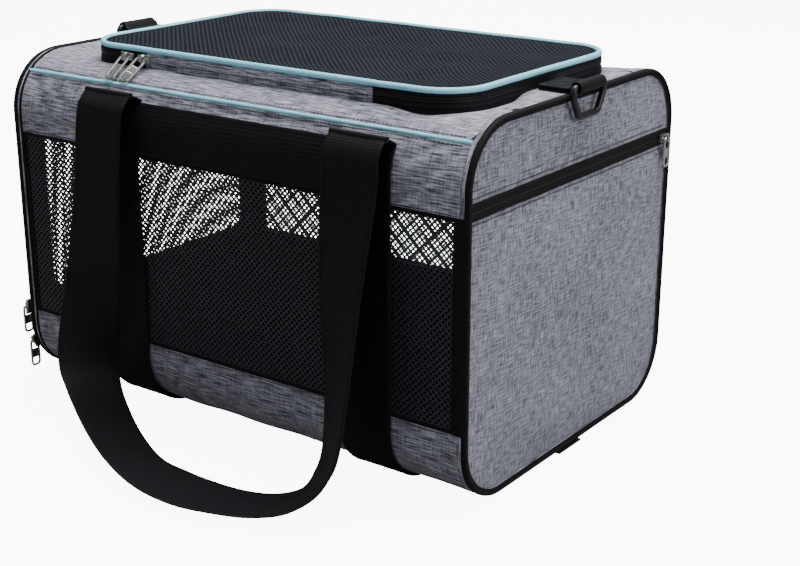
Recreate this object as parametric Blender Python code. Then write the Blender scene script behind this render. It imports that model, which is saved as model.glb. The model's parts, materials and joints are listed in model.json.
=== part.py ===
"""Soft-sided pet transport carrier, modelled as separate sewn panels, webbing and hardware.

Frame: origin at the centre of the underside on the floor, +X towards the end with the zip
pocket, -X towards the mesh door, -Y towards the near long side, +Z up.  Units are metres.
"""

import math

import bmesh
import bpy
from mathutils import Matrix, Vector

# Body shell
HALF_LENGTH = 0.2070  # side panels, between the two end bindings
HALF_WIDTH = 0.1402
BASE_Z = 0.0024  # underside of the fabric, above the webbing that it rests on
TOP_Z = 0.2680
CORNER_R = 0.0450  # long edges, seen from the end
WALL = 0.0040  # padded wall
MESH_T = 0.0012
GAP = 0.0003
ARC_STEPS = 10

# Heights on the long sides
BAND_TOP = 0.0602
WINDOW_TOP = 0.2075
PIPING_ANGLE = math.radians(45)  # of the shoulder piping on the top corner
PIPING_R = 0.0016

# Ends
BINDING_OUT = 0.2145
BINDING_DEPTH = 0.0045
END_IN, END_OUT = 0.2085, 0.2120
LINER_IN, LINER_OUT = 0.2022, 0.2042
POCKET_ZIP_Z = (0.2053, 0.2167)

# Door in the -X end
DOOR_OUT, DOOR_IN = 0.2145, 0.2110
DOOR_INSET = 0.0048  # from the body's outline
DOOR_TOP = 0.2425
DOOR_AXIS = (-0.2148, 0.0066)  # x and z of the bottom hinge
DOOR_WINDOW_HALF = 0.1150
DOOR_WINDOW_Z = (0.0700, 0.2100)

# Lid on top
LID_X = (-0.1680, 0.1830)
LID_HALF_Y, LID_R = 0.1070, 0.0360
LID_TAPE_T = 0.0025
LID_PIPING_R = 0.0022
LID_PIPING_Z = 0.2782
LID_SPLIT_Z = 0.2724  # between the two halves of the zip
HINGE_STRIP_X = (-0.0980, 0.1140)
LID_AXIS = (-0.1055, LID_PIPING_Z)  # y and z

# Floor
BOARD_Z = (0.0062, 0.0092)
PAD_Z = (0.0095, 0.0320)

# Webbing
WEB_T = 0.0018
WEB_HALF = 0.0230
STRAP_X = (-0.1000, 0.1310)
STRAP_LEAVE = math.radians(32)  # where a sling strap leaves the top corner
HANDLE_AXIS = (0.1450, 0.2525)  # |y| and z
FOLD_R = 0.00125
CROSS_BAND_Z = (0.2125, 0.2455)
TETHER_HEIGHT = 0.0200

# D-rings and their tabs
RING_X, RING_Z = 0.2178, 0.2730
RING_WIRE = 0.0022
RING_HALF_TOP, RING_HALF_LOW, RING_LOW_Z = 0.0205, 0.0125, 0.2520
TAB_HALF = 0.0175
TAB_T = 0.0017

# Zip sliders and pulls
SLIDER = (0.0060, 0.0035, 0.0024)  # half length, half width, base thickness
BRIDGE_RISE = 0.0032
BRIDGE_HALF = 0.0013
PULL_LENGTH, PULL_HALF, PULL_WIRE = 0.0240, 0.0038, 0.0010

LOOKS = {  # sRGB colour, roughness, metallic
    "heather": ((0.56, 0.56, 0.61), 0.92, 0.0),
    "black_fabric": ((0.06, 0.06, 0.08), 0.85, 0.0),
    "black_mesh": ((0.05, 0.05, 0.06), 0.80, 0.0),
    "webbing": ((0.09, 0.09, 0.11), 0.70, 0.0),
    "piping": ((0.70, 0.90, 0.94), 0.55, 0.0),
    "board": ((0.20, 0.20, 0.21), 0.60, 0.0),
    "plastic": ((0.03, 0.03, 0.04), 0.40, 0.0),
    "nickel": ((0.78, 0.78, 0.76), 0.25, 1.0),
}


def clear_scene():
    """Remove every object that is in the scene."""
    for item in list(bpy.data.objects):
        bpy.data.objects.remove(item, do_unlink=True)


def srgb_to_linear(value):
    """One sRGB channel as a linear value."""
    return value / 12.92 if value <= 0.04045 else ((value + 0.055) / 1.055) ** 2.4


def make_material(name, look):
    """A Principled material of its own for one object."""
    colour, roughness, metallic = LOOKS[look]
    material = bpy.data.materials.new(name)
    material.use_nodes = True
    shader = material.node_tree.nodes["Principled BSDF"]
    shader.inputs["Base Color"].default_value = (*map(srgb_to_linear, colour), 1.0)
    shader.inputs["Roughness"].default_value = roughness
    shader.inputs["Metallic"].default_value = metallic
    return material


def add_body(name, place):
    """An empty on a joint's axis, which the moving pieces are parented to."""
    empty = bpy.data.objects.new(name, None)
    empty.empty_display_size = 0.02
    empty.location = place
    bpy.context.collection.objects.link(empty)
    return empty


def add_piece(name, bm, look, body=None):
    """Turn a bmesh, given in world coordinates, into a named object."""
    bmesh.ops.recalc_face_normals(bm, faces=bm.faces)
    mesh = bpy.data.meshes.new(name)
    bm.to_mesh(mesh)
    bm.free()
    mesh.shade_smooth()
    mesh.set_sharp_from_angle(angle=math.radians(35))
    mesh.materials.append(make_material(name, look))
    piece = bpy.data.objects.new(name, mesh)
    bpy.context.collection.objects.link(piece)
    if body is not None:
        piece.parent = body
        piece.matrix_parent_inverse = Matrix.Translation(-body.location)
    return piece


def cut(piece, cutter):
    """Take one piece's volume out of another."""
    cutter.hide_render = True
    cutter.display_type = "WIRE"
    boolean = piece.modifiers.new("cut", "BOOLEAN")
    boolean.operation = "DIFFERENCE"
    boolean.solver = "EXACT"
    boolean.object = cutter


def join_solid(piece, other):
    """Unite a helper shape with a piece."""
    other.hide_render = True
    other.display_type = "WIRE"
    boolean = piece.modifiers.new("union", "BOOLEAN")
    boolean.operation = "UNION"
    boolean.solver = "EXACT"
    boolean.object = other


def loft(sections, closed=False):
    """A bmesh through sections, each a list of points with the same count."""
    bm = bmesh.new()
    rings = [[bm.verts.new(p) for p in section] for section in sections]
    count = len(rings[0])
    pairs = list(zip(rings, rings[1:]))
    if closed:
        pairs.append((rings[-1], rings[0]))
    for one, two in pairs:
        for i in range(count):
            j = (i + 1) % count
            bm.faces.new((one[i], one[j], two[j], two[i]))
    if not closed:
        bm.faces.new(rings[0][::-1])
        bm.faces.new(rings[-1])
    return bm


def ribbon(path, half_width, thickness, across):
    """A flat strip along a path; across is one direction, or one for each point."""
    path = [Vector(p) for p in path]
    if isinstance(across, Vector):
        across = [across] * len(path)
    sections = []
    for i, point in enumerate(path):
        ahead = (path[min(i + 1, len(path) - 1)] - path[max(i - 1, 0)]).normalized()
        side = (across[i] - ahead * across[i].dot(ahead)).normalized()
        out = side.cross(ahead)
        w, t = side * half_width, out * (thickness / 2)
        sections.append([point - w - t, point + w - t, point + w + t, point - w + t])
    return loft(sections)


def rounded(lo, hi, radii, steps=6):
    """A rounded rectangle's points and outward normals, anticlockwise from its bottom left."""
    if not isinstance(radii, tuple):
        radii = (radii,) * 4
    (x0, y0), (x1, y1) = lo, hi
    corners = [(x0, y0, 1, 1, 180), (x1, y0, -1, 1, 270), (x1, y1, -1, -1, 0), (x0, y1, 1, -1, 90)]
    outline = []
    for (x, y, sx, sy, start), r in zip(corners, radii):
        for k in range(steps + 1):
            a = math.radians(start + 90 * k / steps)
            n = Vector((math.cos(a), math.sin(a)))
            outline.append((Vector((x + sx * r, y + sy * r)) + n * r, n))
    return outline


def in_yz(u, v, w):
    """Outline in the YZ plane, depth along X."""
    return Vector((w, u, v))


def in_xy(u, v, w):
    """Outline in the XY plane, depth along Z."""
    return Vector((u, v, w))


def prism(outline, place, lo, hi):
    """A plate with the given outline between two depths."""
    return loft([[place(p.x, p.y, w) for p, _ in outline] for w in (lo, hi)])


def ring_plate(outer, inner, place, lo, hi):
    """A plate with a hole; both outlines have the same number of points."""
    sections = []
    for (a, _), (b, _) in zip(outer, inner):
        sections.append([place(a.x, a.y, lo), place(a.x, a.y, hi),
                         place(b.x, b.y, hi), place(b.x, b.y, lo)])
    return loft(sections, closed=True)


def edging(outline, profile, place, closed=True):
    """Sweep a profile of (outward, depth) points along an outline."""
    sections = [[place(p.x + n.x * o, p.y + n.y * o, w) for o, w in profile] for p, n in outline]
    return loft(sections, closed)


def disc_profile(radius, depth, sides=8, inward=0.0):
    """A round profile for edging."""
    turn = [2 * math.pi * (k + 0.5) / sides for k in range(sides)]
    return [(radius * math.cos(a) - inward, depth + radius * math.sin(a)) for a in turn]


def box(lo, hi, chamfer=0.0):
    """A block with optional chamfered edges."""
    bm = loft([[Vector((x, y, z)) for x, y in
                ((lo[0], lo[1]), (hi[0], lo[1]), (hi[0], hi[1]), (lo[0], hi[1]))]
               for z in (lo[2], hi[2])])
    if chamfer:
        bmesh.ops.bevel(bm, geom=list(bm.edges), affect="EDGES", offset=chamfer, segments=1,
                        profile=0.5, material=-1)
    return bm


def arc_points(radius, start, end, top, steps=ARC_STEPS):
    """(|y|, z) points on a long edge of the body; the angle is 0 at the side."""
    y0 = HALF_WIDTH - CORNER_R
    z0 = TOP_Z - CORNER_R if top else BASE_Z + CORNER_R
    sign = 1 if top else -1
    points = []
    for k in range(steps + 1):
        a = start + (end - start) * k / steps
        points.append((y0 + radius * math.cos(a), z0 + sign * radius * math.sin(a)))
    return points


def along_x(profile, side, x0, x1):
    """Extrude closed (|y|, z) points along X on one long side."""
    return loft([[Vector((x, side * y, z)) for y, z in profile] for x in (x0, x1)])


def skin_profile(line_out, line_in):
    """A closed profile between an outer and an inner line."""
    return list(line_out) + list(line_in)[::-1]


def build_base():
    """The floor fabric, its stiff board, the floor pad and the tether in the cabin."""
    flat = HALF_WIDTH - CORNER_R - GAP
    add_piece("base_fabric", box((-HALF_LENGTH, -flat, BASE_Z), (HALF_LENGTH, flat, 0.0059)),
              "heather")
    add_piece("base_board", box((-0.2030, -0.0945, BOARD_Z[0]), (0.2015, 0.0945, BOARD_Z[1]), 0.0008),
              "board")
    low, high = PAD_Z
    section = [(0.1075, low), (0.1270, low + 0.0135), (0.1303, high - 0.004), (0.1265, high)]
    profile = section + [(-y, z) for y, z in section[::-1]]
    bm = loft([[Vector((x, y, z)) for y, z in profile] for x in (-0.2045, 0.2018)])
    add_piece("floor_pad", bm, "black_mesh")
    turn = [(-0.190, 0.030), (-0.164, 0.047), (-0.129, 0.056), (-0.096, 0.051), (-0.070, 0.030),
            (-0.060, 0.000), (-0.070, -0.030), (-0.098, -0.055), (-0.130, -0.071), (-0.165, -0.080)]
    z = high + GAP + TETHER_HEIGHT / 2
    path = spline([(x, y, z) for x, y in turn], 24)
    add_piece("tether_strap", ribbon(path, TETHER_HEIGHT / 2, WEB_T, Vector((0, 0, 1))), "webbing")


def build_long_side(name, side):
    """One long side: lower band, mesh window, shoulder panel and piping."""
    bottom = math.pi / 2
    outer = arc_points(CORNER_R, bottom, 0, False) + [(HALF_WIDTH, BAND_TOP)]
    inner = arc_points(CORNER_R - WALL, bottom, 0, False) + [(HALF_WIDTH - WALL, BAND_TOP)]
    add_piece(name + "_lower_band",
              along_x(skin_profile(outer, inner), side, -HALF_LENGTH, HALF_LENGTH), "heather")
    window = [(HALF_WIDTH, BAND_TOP + GAP), (HALF_WIDTH, WINDOW_TOP),
              (HALF_WIDTH - MESH_T, WINDOW_TOP), (HALF_WIDTH - MESH_T, BAND_TOP + GAP)]
    add_piece(name + "_window_mesh", along_x(window, side, -HALF_LENGTH, HALF_LENGTH),
              "black_mesh")
    gap = (PIPING_R + GAP) / CORNER_R
    end = PIPING_ANGLE - gap
    start = WINDOW_TOP + GAP
    outer = [(HALF_WIDTH, start)] + arc_points(CORNER_R, 0, end, True, 6)
    inner = [(HALF_WIDTH - WALL, start)] + arc_points(CORNER_R - WALL, 0, end, True, 6)
    add_piece(name + "_shoulder_panel",
              along_x(skin_profile(outer, inner), side, -HALF_LENGTH, HALF_LENGTH), "heather")
    centre = arc_points(CORNER_R - 0.0005, PIPING_ANGLE, PIPING_ANGLE, True, 1)[0]
    circle = [(centre[0] + o, centre[1] + d) for o, d in disc_profile(PIPING_R, 0)]
    add_piece(name + "_shoulder_piping", along_x(circle, side, -HALF_LENGTH, HALF_LENGTH),
              "piping")


def build_top():
    """The top panel with the lid's opening, the fixed half of the zip and the hinge strip."""
    gap = (PIPING_R + GAP) / CORNER_R
    start = PIPING_ANGLE + gap
    outer = arc_points(CORNER_R, start, math.pi / 2, True, 6)
    inner = arc_points(CORNER_R - WALL, start, math.pi / 2, True, 6)
    profile = outer + [(-y, z) for y, z in outer[::-1]]
    profile += [(-y, z) for y, z in inner] + inner[::-1]
    bm = loft([[Vector((x, y, z)) for y, z in profile] for x in (-HALF_LENGTH, HALF_LENGTH)])
    panel = add_piece("top_panel", bm, "heather")
    hole = rounded((LID_X[0] - GAP, -LID_HALF_Y - GAP), (LID_X[1] + GAP, LID_HALF_Y + GAP),
                   LID_R + GAP, 8)
    cut(panel, add_piece("lid_opening_cutter", prism(hole, in_xy, 0.25, 0.28), "heather"))
    tape = [(0.0, 0.2625), (0.0, LID_SPLIT_Z - 0.0002), (-LID_TAPE_T, LID_SPLIT_Z - 0.0002),
            (-LID_TAPE_T, 0.2625)]
    add_piece("lid_zip_lower_tape", edging(lid_outline(True), tape, in_xy, False), "black_fabric")
    x0, x1 = HINGE_STRIP_X
    add_piece("lid_hinge_strip", box((x0, -LID_HALF_Y, 0.2625), (x1, -LID_HALF_Y + 0.0025, 0.2756)),
              "heather")


def lid_outline(broken):
    """The lid's outline; broken leaves out the stretch of the hinge strip."""
    outline = rounded((LID_X[0], -LID_HALF_Y), (LID_X[1], LID_HALF_Y), LID_R, 8)
    if not broken:
        return outline
    down = Vector((0, -1))
    corner = 9  # points in one corner
    loop = outline[corner:] + outline[:corner]
    first = (Vector((HINGE_STRIP_X[1] + GAP, -LID_HALF_Y)), down)
    last = (Vector((HINGE_STRIP_X[0] - GAP, -LID_HALF_Y)), down)
    return [first, *loop, last]


def build_lid():
    """The zip-round lid: mesh, piping and the moving half of the zip."""
    body = add_body("lid", (0.0, *LID_AXIS))
    inset = LID_PIPING_R + 0.0015 + GAP
    inner = rounded((LID_X[0] + inset, -LID_HALF_Y + inset),
                    (LID_X[1] - inset, LID_HALF_Y - inset), LID_R - inset, 8)
    add_piece("lid_mesh", prism(inner, in_xy, 0.2772, 0.2787), "black_mesh", body)
    add_piece("lid_piping",
              edging(lid_outline(False), disc_profile(LID_PIPING_R, LID_PIPING_Z, 8, 0.0015), in_xy),
              "piping", body)
    low, high = LID_SPLIT_Z + 0.0002, LID_PIPING_Z - LID_PIPING_R - 0.0002
    tape = [(0.0, low), (0.0, high), (-LID_TAPE_T, high), (-LID_TAPE_T, low)]
    add_piece("lid_zip_upper_tape", edging(lid_outline(True), tape, in_xy, False), "black_fabric",
              body)


def end_outline(inset, bottom=BASE_Z, top=TOP_Z, steps=8):
    """The body's rounded outline seen from an end, moved inwards."""
    return rounded((-HALF_WIDTH + inset, bottom + inset), (HALF_WIDTH - inset, top - inset),
                   CORNER_R - inset, steps)


def build_pocket_end():
    """The +X end: binding, liner, pocket panel, pocket zip and upper panel."""
    x0, x1 = HALF_LENGTH + GAP, BINDING_OUT
    profile = [(0.0, x0), (0.0, x1 - 0.002), (-0.0012, x1), (-BINDING_DEPTH + 0.0012, x1),
               (-BINDING_DEPTH, x1 - 0.001), (-BINDING_DEPTH, x0)]
    add_piece("pocket_end_binding", edging(end_outline(0), profile, in_yz), "black_fabric")
    inset = BINDING_DEPTH + GAP
    add_piece("pocket_end_liner", prism(end_outline(inset), in_yz, LINER_IN, LINER_OUT), "heather")
    half, low, high = HALF_WIDTH - inset, BASE_Z + inset, TOP_Z - inset
    r = CORNER_R - inset
    z0, z1 = POCKET_ZIP_Z
    lower = rounded((-half, low), (half, z0 - GAP), (r, r, 0.0005, 0.0005))
    add_piece("pocket_panel", prism(lower, in_yz, END_IN, END_OUT), "heather")
    middle = rounded((-half, z0), (half, z1), 0.0005, 1)
    add_piece("pocket_zip_tape", prism(middle, in_yz, END_IN, END_OUT + 0.0004), "black_fabric")
    upper = rounded((-half, z1 + GAP), (half, high), (0.0005, 0.0005, r, r))
    add_piece("pocket_end_upper_panel", prism(upper, in_yz, END_IN, END_OUT), "heather")


def build_door_end():
    """The -X end: gusset, upper panel and the zip round the door."""
    x0, x1 = -HALF_LENGTH - GAP, -BINDING_OUT
    depth = WALL
    profile = [(0.0, x0), (0.0, x1 + 0.001), (-0.001, x1), (-depth, x1), (-depth, x0)]
    add_piece("door_end_gusset", edging(end_outline(0), profile, in_yz), "black_fabric")
    upper = arch_outline(depth + GAP, DOOR_TOP + 0.0006)
    add_piece("door_end_upper_panel", prism(upper, in_yz, -DOOR_OUT, -DOOR_IN), "heather")
    outline = [(p, n) for p, n in door_outline(DOOR_INSET - 0.0004) if p.y > 0.030]
    start = next(i for i, (p, _) in enumerate(outline) if p.x > 0)
    outline = outline[start:] + outline[:start]
    coil = [(0.0004, -0.2148), (0.0004, -0.2154), (0.0028, -0.2154), (0.0028, -0.2148)]
    add_piece("door_zip_coil", edging(outline, coil, in_yz, False), "black_fabric")


def arch_outline(inset, low, steps=8):
    """The part of the end's outline that lies above a height in the top corners' range."""
    r = CORNER_R - inset
    y, z = HALF_WIDTH - CORNER_R, TOP_Z - CORNER_R
    first = math.asin((low - z) / r)
    outline = []
    for side in (1, -1):
        for k in range(steps + 1):
            a = first + (math.pi / 2 - first) * (k if side > 0 else steps - k) / steps
            n = Vector((side * math.cos(a), math.sin(a)))
            outline.append((Vector((side * y, z)) + n * r, n))
    return outline


def door_outline(inset, low=None, high=None, steps=8):
    """The door's outline inside the gusset, or the part of it between two heights."""
    r = CORNER_R - inset
    half = HALF_WIDTH - inset
    small = 0.0005
    outline = []
    if low is None:
        lower = rounded((-half, BASE_Z + inset), (half, 0.2), (r, r, small, small), steps)
    else:
        lower = rounded((-half, low), (half, 0.2), small, steps)
    outline += lower[:2 * (steps + 1)]
    if high is None:
        top = DOOR_TOP + DOOR_INSET - inset
        y, z = HALF_WIDTH - CORNER_R, TOP_Z - CORNER_R
        last = math.asin((top - z) / r)
        for side in (1, -1):
            for k in range(steps + 1):
                a = last * (k if side > 0 else steps - k) / steps
                n = Vector((side * math.cos(a), math.sin(a)))
                outline.append((Vector((side * y, z)) + n * r, n))
    else:
        outline += rounded((-half, 0.05), (half, high), small, steps)[2 * (steps + 1):]
    return outline


def build_door():
    """The zip-round door, hinged along its bottom edge."""
    body = add_body("door", (DOOR_AXIS[0], 0.0, DOOR_AXIS[1]))
    split = 0.0620
    add_piece("door_lower_panel", prism(door_outline(DOOR_INSET, high=split - GAP), in_yz,
                                        -DOOR_OUT, -DOOR_IN), "heather", body)
    z0, z1 = DOOR_WINDOW_Z
    window = rounded((-DOOR_WINDOW_HALF, z0), (DOOR_WINDOW_HALF, z1), 0.012, 8)
    add_piece("door_border", ring_plate(door_outline(DOOR_INSET, low=split), window, in_yz,
                                        -DOOR_OUT, -DOOR_IN), "black_fabric", body)
    pane = rounded((-DOOR_WINDOW_HALF + GAP, z0 + GAP), (DOOR_WINDOW_HALF - GAP, z1 - GAP),
                   0.0117, 6)
    add_piece("door_mesh", prism(pane, in_yz, -0.2134, -0.2122), "black_mesh", body)


def spline(points, count):
    """Evenly spaced points on a smooth curve through the given points."""
    size = len(points[0])
    pts = [Vector(p) if size == 3 else list(p) for p in points]
    rows = [list(p) for p in pts]
    first = [2 * a - b for a, b in zip(rows[0], rows[1])]
    last = [2 * a - b for a, b in zip(rows[-1], rows[-2])]
    rows = [first, *rows, last]
    lengths = [0.0]
    for a, b in zip(rows[1:-1], rows[2:-1]):
        lengths.append(lengths[-1] + math.dist(a[:3], b[:3]))
    out = []
    for k in range(count):
        s = lengths[-1] * k / (count - 1)
        i = max(j for j in range(len(lengths) - 1) if lengths[j] <= s + 1e-12)
        t = (s - lengths[i]) / (lengths[i + 1] - lengths[i])
        a, b, c, d = rows[i:i + 4]
        out.append([0.5 * (2 * q + (r - p) * t + (2 * p - 5 * q + 4 * r - u) * t * t
                           + (3 * q - p - 3 * r + u) * t ** 3)
                    for p, q, r, u in zip(a, b, c, d)])
    return [Vector(row) if size == 3 else row for row in out]


def strap_line():
    """(|y|, z) centre line of a sling strap from under the base to its top fold."""
    off = GAP + 0.0001 + WEB_T / 2
    under = WEB_T / 2
    line = [(0.0, under), (0.060, under)]
    radius = CORNER_R + BASE_Z - under
    line += arc_points(radius, math.pi / 2, 0, False, 10)
    line = [(y if y < 0.1 else min(y, HALF_WIDTH + off), z) for y, z in line]
    line += [(HALF_WIDTH + off, 0.10), (HALF_WIDTH + off, 0.16)]
    line += arc_points(CORNER_R + off, 0, STRAP_LEAVE, True, 6)
    y, z = HANDLE_AXIS
    far = FOLD_R + GAP
    start = Vector(line[-1])
    stop = Vector((y, z)) + (start - Vector((y, z))).normalized() * far
    line.append(tuple(start.lerp(stop, 0.5) + Vector((0.0002, 0.0006))))
    line.append(tuple(stop))
    return line


def build_straps():
    """The two sling straps, which run under the base and up both sides."""
    right = strap_line()
    left = [(-y, z) for y, z in right[:0:-1]]
    for name, x in zip(("door_end", "pocket_end"), STRAP_X):
        path = [(x, y, z) for y, z in left + right]
        add_piece(name + "_sling_strap", ribbon(path, WEB_HALF, WEB_T, Vector((1, 0, 0))),
                  "webbing")


def build_cross_band(name, side):
    """The webbing that runs along a side between the sling straps."""
    off = GAP + 0.0001
    z0, z1 = CROSS_BAND_Z
    end = math.asin((z1 - (TOP_Z - CORNER_R)) / CORNER_R)
    outer = [(HALF_WIDTH + off + WEB_T, z0)] + arc_points(CORNER_R + off + WEB_T, 0, end, True, 4)
    inner = [(HALF_WIDTH + off, z0)] + arc_points(CORNER_R + off, 0, end, True, 4)
    x0, x1 = STRAP_X[0] + WEB_HALF + GAP, STRAP_X[1] - WEB_HALF - GAP
    add_piece(name + "_cross_band", along_x(skin_profile(outer, inner), side, x0, x1), "webbing")


def handle_stations():
    """Centre points of the near handle with the direction across its webbing."""
    y, z = HANDLE_AXIS
    x0, x1 = STRAP_X
    return [
        (x0, -y, z, -1.0, 0.0, 0.0),
        (x0, -y - 0.0062, z - 0.0060, -1.0, 0.0, 0.0),
        (x0 - 0.001, -0.1555, 0.2340, -1.0, 0.0, 0.0),
        (-0.1060, -0.1585, 0.1700, -1.0, -0.05, 0.0),
        (-0.1120, -0.1630, 0.1000, -0.93, -0.36, 0.0),
        (-0.1180, -0.1690, 0.0520, -0.60, -0.78, 0.12),
        (-0.1120, -0.1740, 0.0300, -0.34, -0.91, 0.22),
        (-0.0930, -0.1850, 0.0190, -0.36, -0.88, 0.30),
        (-0.0610, -0.2040, 0.0130, -0.44, -0.83, 0.32),
        (-0.0220, -0.2225, 0.0100, -0.36, -0.89, 0.26),
        (0.0120, -0.2305, 0.0080, -0.13, -0.99, 0.10),
        (0.0438, -0.2321, 0.0070, 0.06, -1.0, 0.06),
        (0.0709, -0.2278, 0.0065, 0.24, -0.96, 0.10),
        (0.0938, -0.2195, 0.0065, 0.38, -0.92, 0.12),
        (0.1110, -0.2100, 0.0095, 0.52, -0.84, 0.16),
        (0.1215, -0.2000, 0.0160, 0.60, -0.75, 0.28),
        (0.1262, -0.1905, 0.0270, 0.60, -0.72, 0.34),
        (0.1275, -0.1815, 0.0430, 0.61, -0.72, 0.32),
        (0.1260, -0.1700, 0.0850, 0.72, -0.67, 0.18),
        (0.1270, -0.1610, 0.1500, 0.95, -0.25, 0.0),
        (0.1310, -0.1560, 0.2200, 1.0, 0.0, 0.0),
        (x1, -0.1545, 0.2380, 1.0, 0.0, 0.0),
        (x1, -y - 0.0062, z - 0.0060, 1.0, 0.0, 0.0),
        (x1, -y, z, 1.0, 0.0, 0.0),
    ]


def build_handle(name, side):
    """One carry handle: a webbing loop that hangs outside its long side."""
    body = add_body(name, (0.0, side * HANDLE_AXIS[0], HANDLE_AXIS[1]))
    rows = spline(handle_stations(), 64)
    path = [Vector((r[0], -side * r[1], r[2])) for r in rows]
    across = [Vector((r[3], -side * r[4], r[5])) for r in rows]
    handle = add_piece(name + "_strap", ribbon(path, WEB_HALF, WEB_T, across), "webbing", body)
    for k, x in enumerate(STRAP_X):
        circle = [(HANDLE_AXIS[0] + o, HANDLE_AXIS[1] + d) for o, d in disc_profile(FOLD_R, 0)]
        roll = add_piece(f"{name}_fold_{k}",
                         along_x(circle, side, x - WEB_HALF - 0.0002, x + WEB_HALF + 0.0002),
                         "webbing", body)
        join_solid(handle, roll)


def build_ring_and_tab(name, end):
    """A D-ring on a folded webbing tab at the top of one end."""
    low = TOP_Z + GAP + 0.0001 + TAB_T / 2
    radius = RING_Z - low
    top = low + TAB_T + GAP
    path = [(0.1880, low), (RING_X - 0.004, low)]
    for k in range(13):
        a = math.radians(-90 + 240 * k / 12)
        path.append((RING_X + radius * math.cos(a), RING_Z + radius * math.sin(a)))
    path += [(0.2128, top + 0.0004), (0.2105, top), (0.1880, top)]
    add_piece(name + "_ring_tab",
              ribbon([(end * x, 0.0, z) for x, z in path], TAB_HALF, TAB_T, Vector((0, 1, 0))),
              "webbing")
    body = add_body(name + "_ring", (end * RING_X, 0.0, RING_Z))
    corners = [(RING_HALF_TOP, RING_Z), (RING_HALF_TOP, 0.2655), (RING_HALF_LOW, RING_LOW_Z),
               (-RING_HALF_LOW, RING_LOW_Z), (-RING_HALF_TOP, 0.2655), (-RING_HALF_TOP, RING_Z)]
    outline = fillet([Vector(c) for c in corners], 0.003)
    add_piece(name + "_d_ring", edging(outline, disc_profile(RING_WIRE, end * RING_X), in_yz),
              "plastic", body)


def fillet(corners, radius, steps=2):
    """Round a polygon's corners; gives points with outward normals."""
    outline = []
    middle = sum(corners, Vector((0, 0))) / len(corners)
    for i, c in enumerate(corners):
        a = (corners[i - 1] - c).normalized()
        b = (corners[(i + 1) % len(corners)] - c).normalized()
        p, q = c + a * radius, c + b * radius
        for k in range(steps + 1):
            t = k / steps
            outline.append(p.lerp(c, t).lerp(c.lerp(q, t), t))
    normals = []
    for i, p in enumerate(outline):
        ahead = (outline[(i + 1) % len(outline)] - outline[i - 1]).normalized()
        n = Vector((ahead.y, -ahead.x))
        normals.append(n if n.dot(p - middle) > 0 else -n)
    return list(zip(outline, normals))


def build_floor_tab(name, x0, x1):
    """A short webbing tab under one end of the base."""
    add_piece(name, box((x0, -0.016, 0.0), (x1, 0.016, WEB_T)), "webbing")


def build_slider(name, place, out, hang, run=None):
    """A zip slider with a bridge, and a wire pull that hangs from it.

    place is the middle of the slider's underside on the tape, out is away from the tape, hang
    is the way that the pull lies and run is the zip's direction, where that is not along hang.
    """
    place, out, hang = Vector(place), Vector(out).normalized(), Vector(hang).normalized()
    slider = add_body(name, place)
    down = (hang - out * hang.dot(out)).normalized()
    side = down.cross(out)
    run = Vector(run) if run else down
    half_l, half_w, thick = SLIDER

    def at(s, w, n, along=down):
        return place + along * s + along.cross(out) * w + out * n

    profile = [(-half_l, 0.0), (half_l, 0.0), (half_l, thick * 0.7), (half_l * 0.8, thick),
               (-half_l * 0.8, thick), (-half_l, thick * 0.7)]
    base = add_piece(name + "_slider", loft([[at(s, w, n, run) for s, n in profile]
                                             for w in (-half_w, half_w)]), "nickel", slider)
    rise = thick + BRIDGE_RISE
    foot, eye, bar = 0.0033, 0.0023, 0.0008
    arch = [(-foot, thick - 0.0006), (-foot, rise - 0.0010), (-eye, rise), (eye, rise),
            (foot, rise - 0.0010), (foot, thick - 0.0006), (eye, thick - 0.0006),
            (eye, rise - bar), (-eye, rise - bar), (-eye, thick - 0.0006)]
    join_solid(base, add_piece(name + "_bridge", loft([[at(s, w, n) for s, n in arch]
                                                       for w in (-BRIDGE_HALF, BRIDGE_HALF)]),
                               "nickel", slider))
    pin = place + out * (rise - bar - PULL_WIRE - 0.0001)
    pull = add_body(name + "_pull", pin)
    pull.parent = slider
    pull.matrix_parent_inverse = Matrix.Translation(-slider.location)
    across = side
    normal = hang.cross(across)
    outline = rounded((-PULL_HALF, 0.0), (PULL_HALF, PULL_LENGTH - 2 * PULL_WIRE), 0.0026, 3)

    def on_pull(u, v, w):
        return pin + across * u + hang * v + normal * w

    wire = edging(outline, disc_profile(PULL_WIRE, 0.0, 6), on_pull)
    piece = add_piece(name + "_pull_loop", wire, "nickel")
    piece.parent = pull
    piece.matrix_parent_inverse = Matrix.Translation(-pin)
    return slider


def build_sliders():
    """The five zip sliders, each with its pull."""
    mid = LID_SPLIT_Z - 0.0001
    y = -LID_HALF_Y - 0.0004
    build_slider("lid_zip_left", (-0.1160, y, mid), (0, -1, 0), (-0.06, -0.78, -0.62),
                 (1, 0, 0))
    build_slider("lid_zip_right", (-0.0985, y, mid), (0, -1, 0), (-0.20, -0.76, -0.62),
                 (1, 0, 0))
    x = -0.2158
    build_slider("door_zip_upper", (x, -0.1393, 0.0600), (-1, 0, 0), (0, 0, -1))
    turn, reach = math.radians(25), 0.0441  # round the bottom corner of the door
    build_slider("door_zip_lower",
                 (x, -(HALF_WIDTH - CORNER_R) - reach * math.cos(turn),
                  BASE_Z + CORNER_R - reach * math.sin(turn)),
                 (-1, 0, 0), (0, 0, -1), (0, math.sin(turn), -math.cos(turn)))
    build_slider("pocket_zip", (END_OUT + 0.0008, 0.1290, 0.2110), (1, 0, 0), (0, 0, -1),
                 (0, 1, 0))


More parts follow.
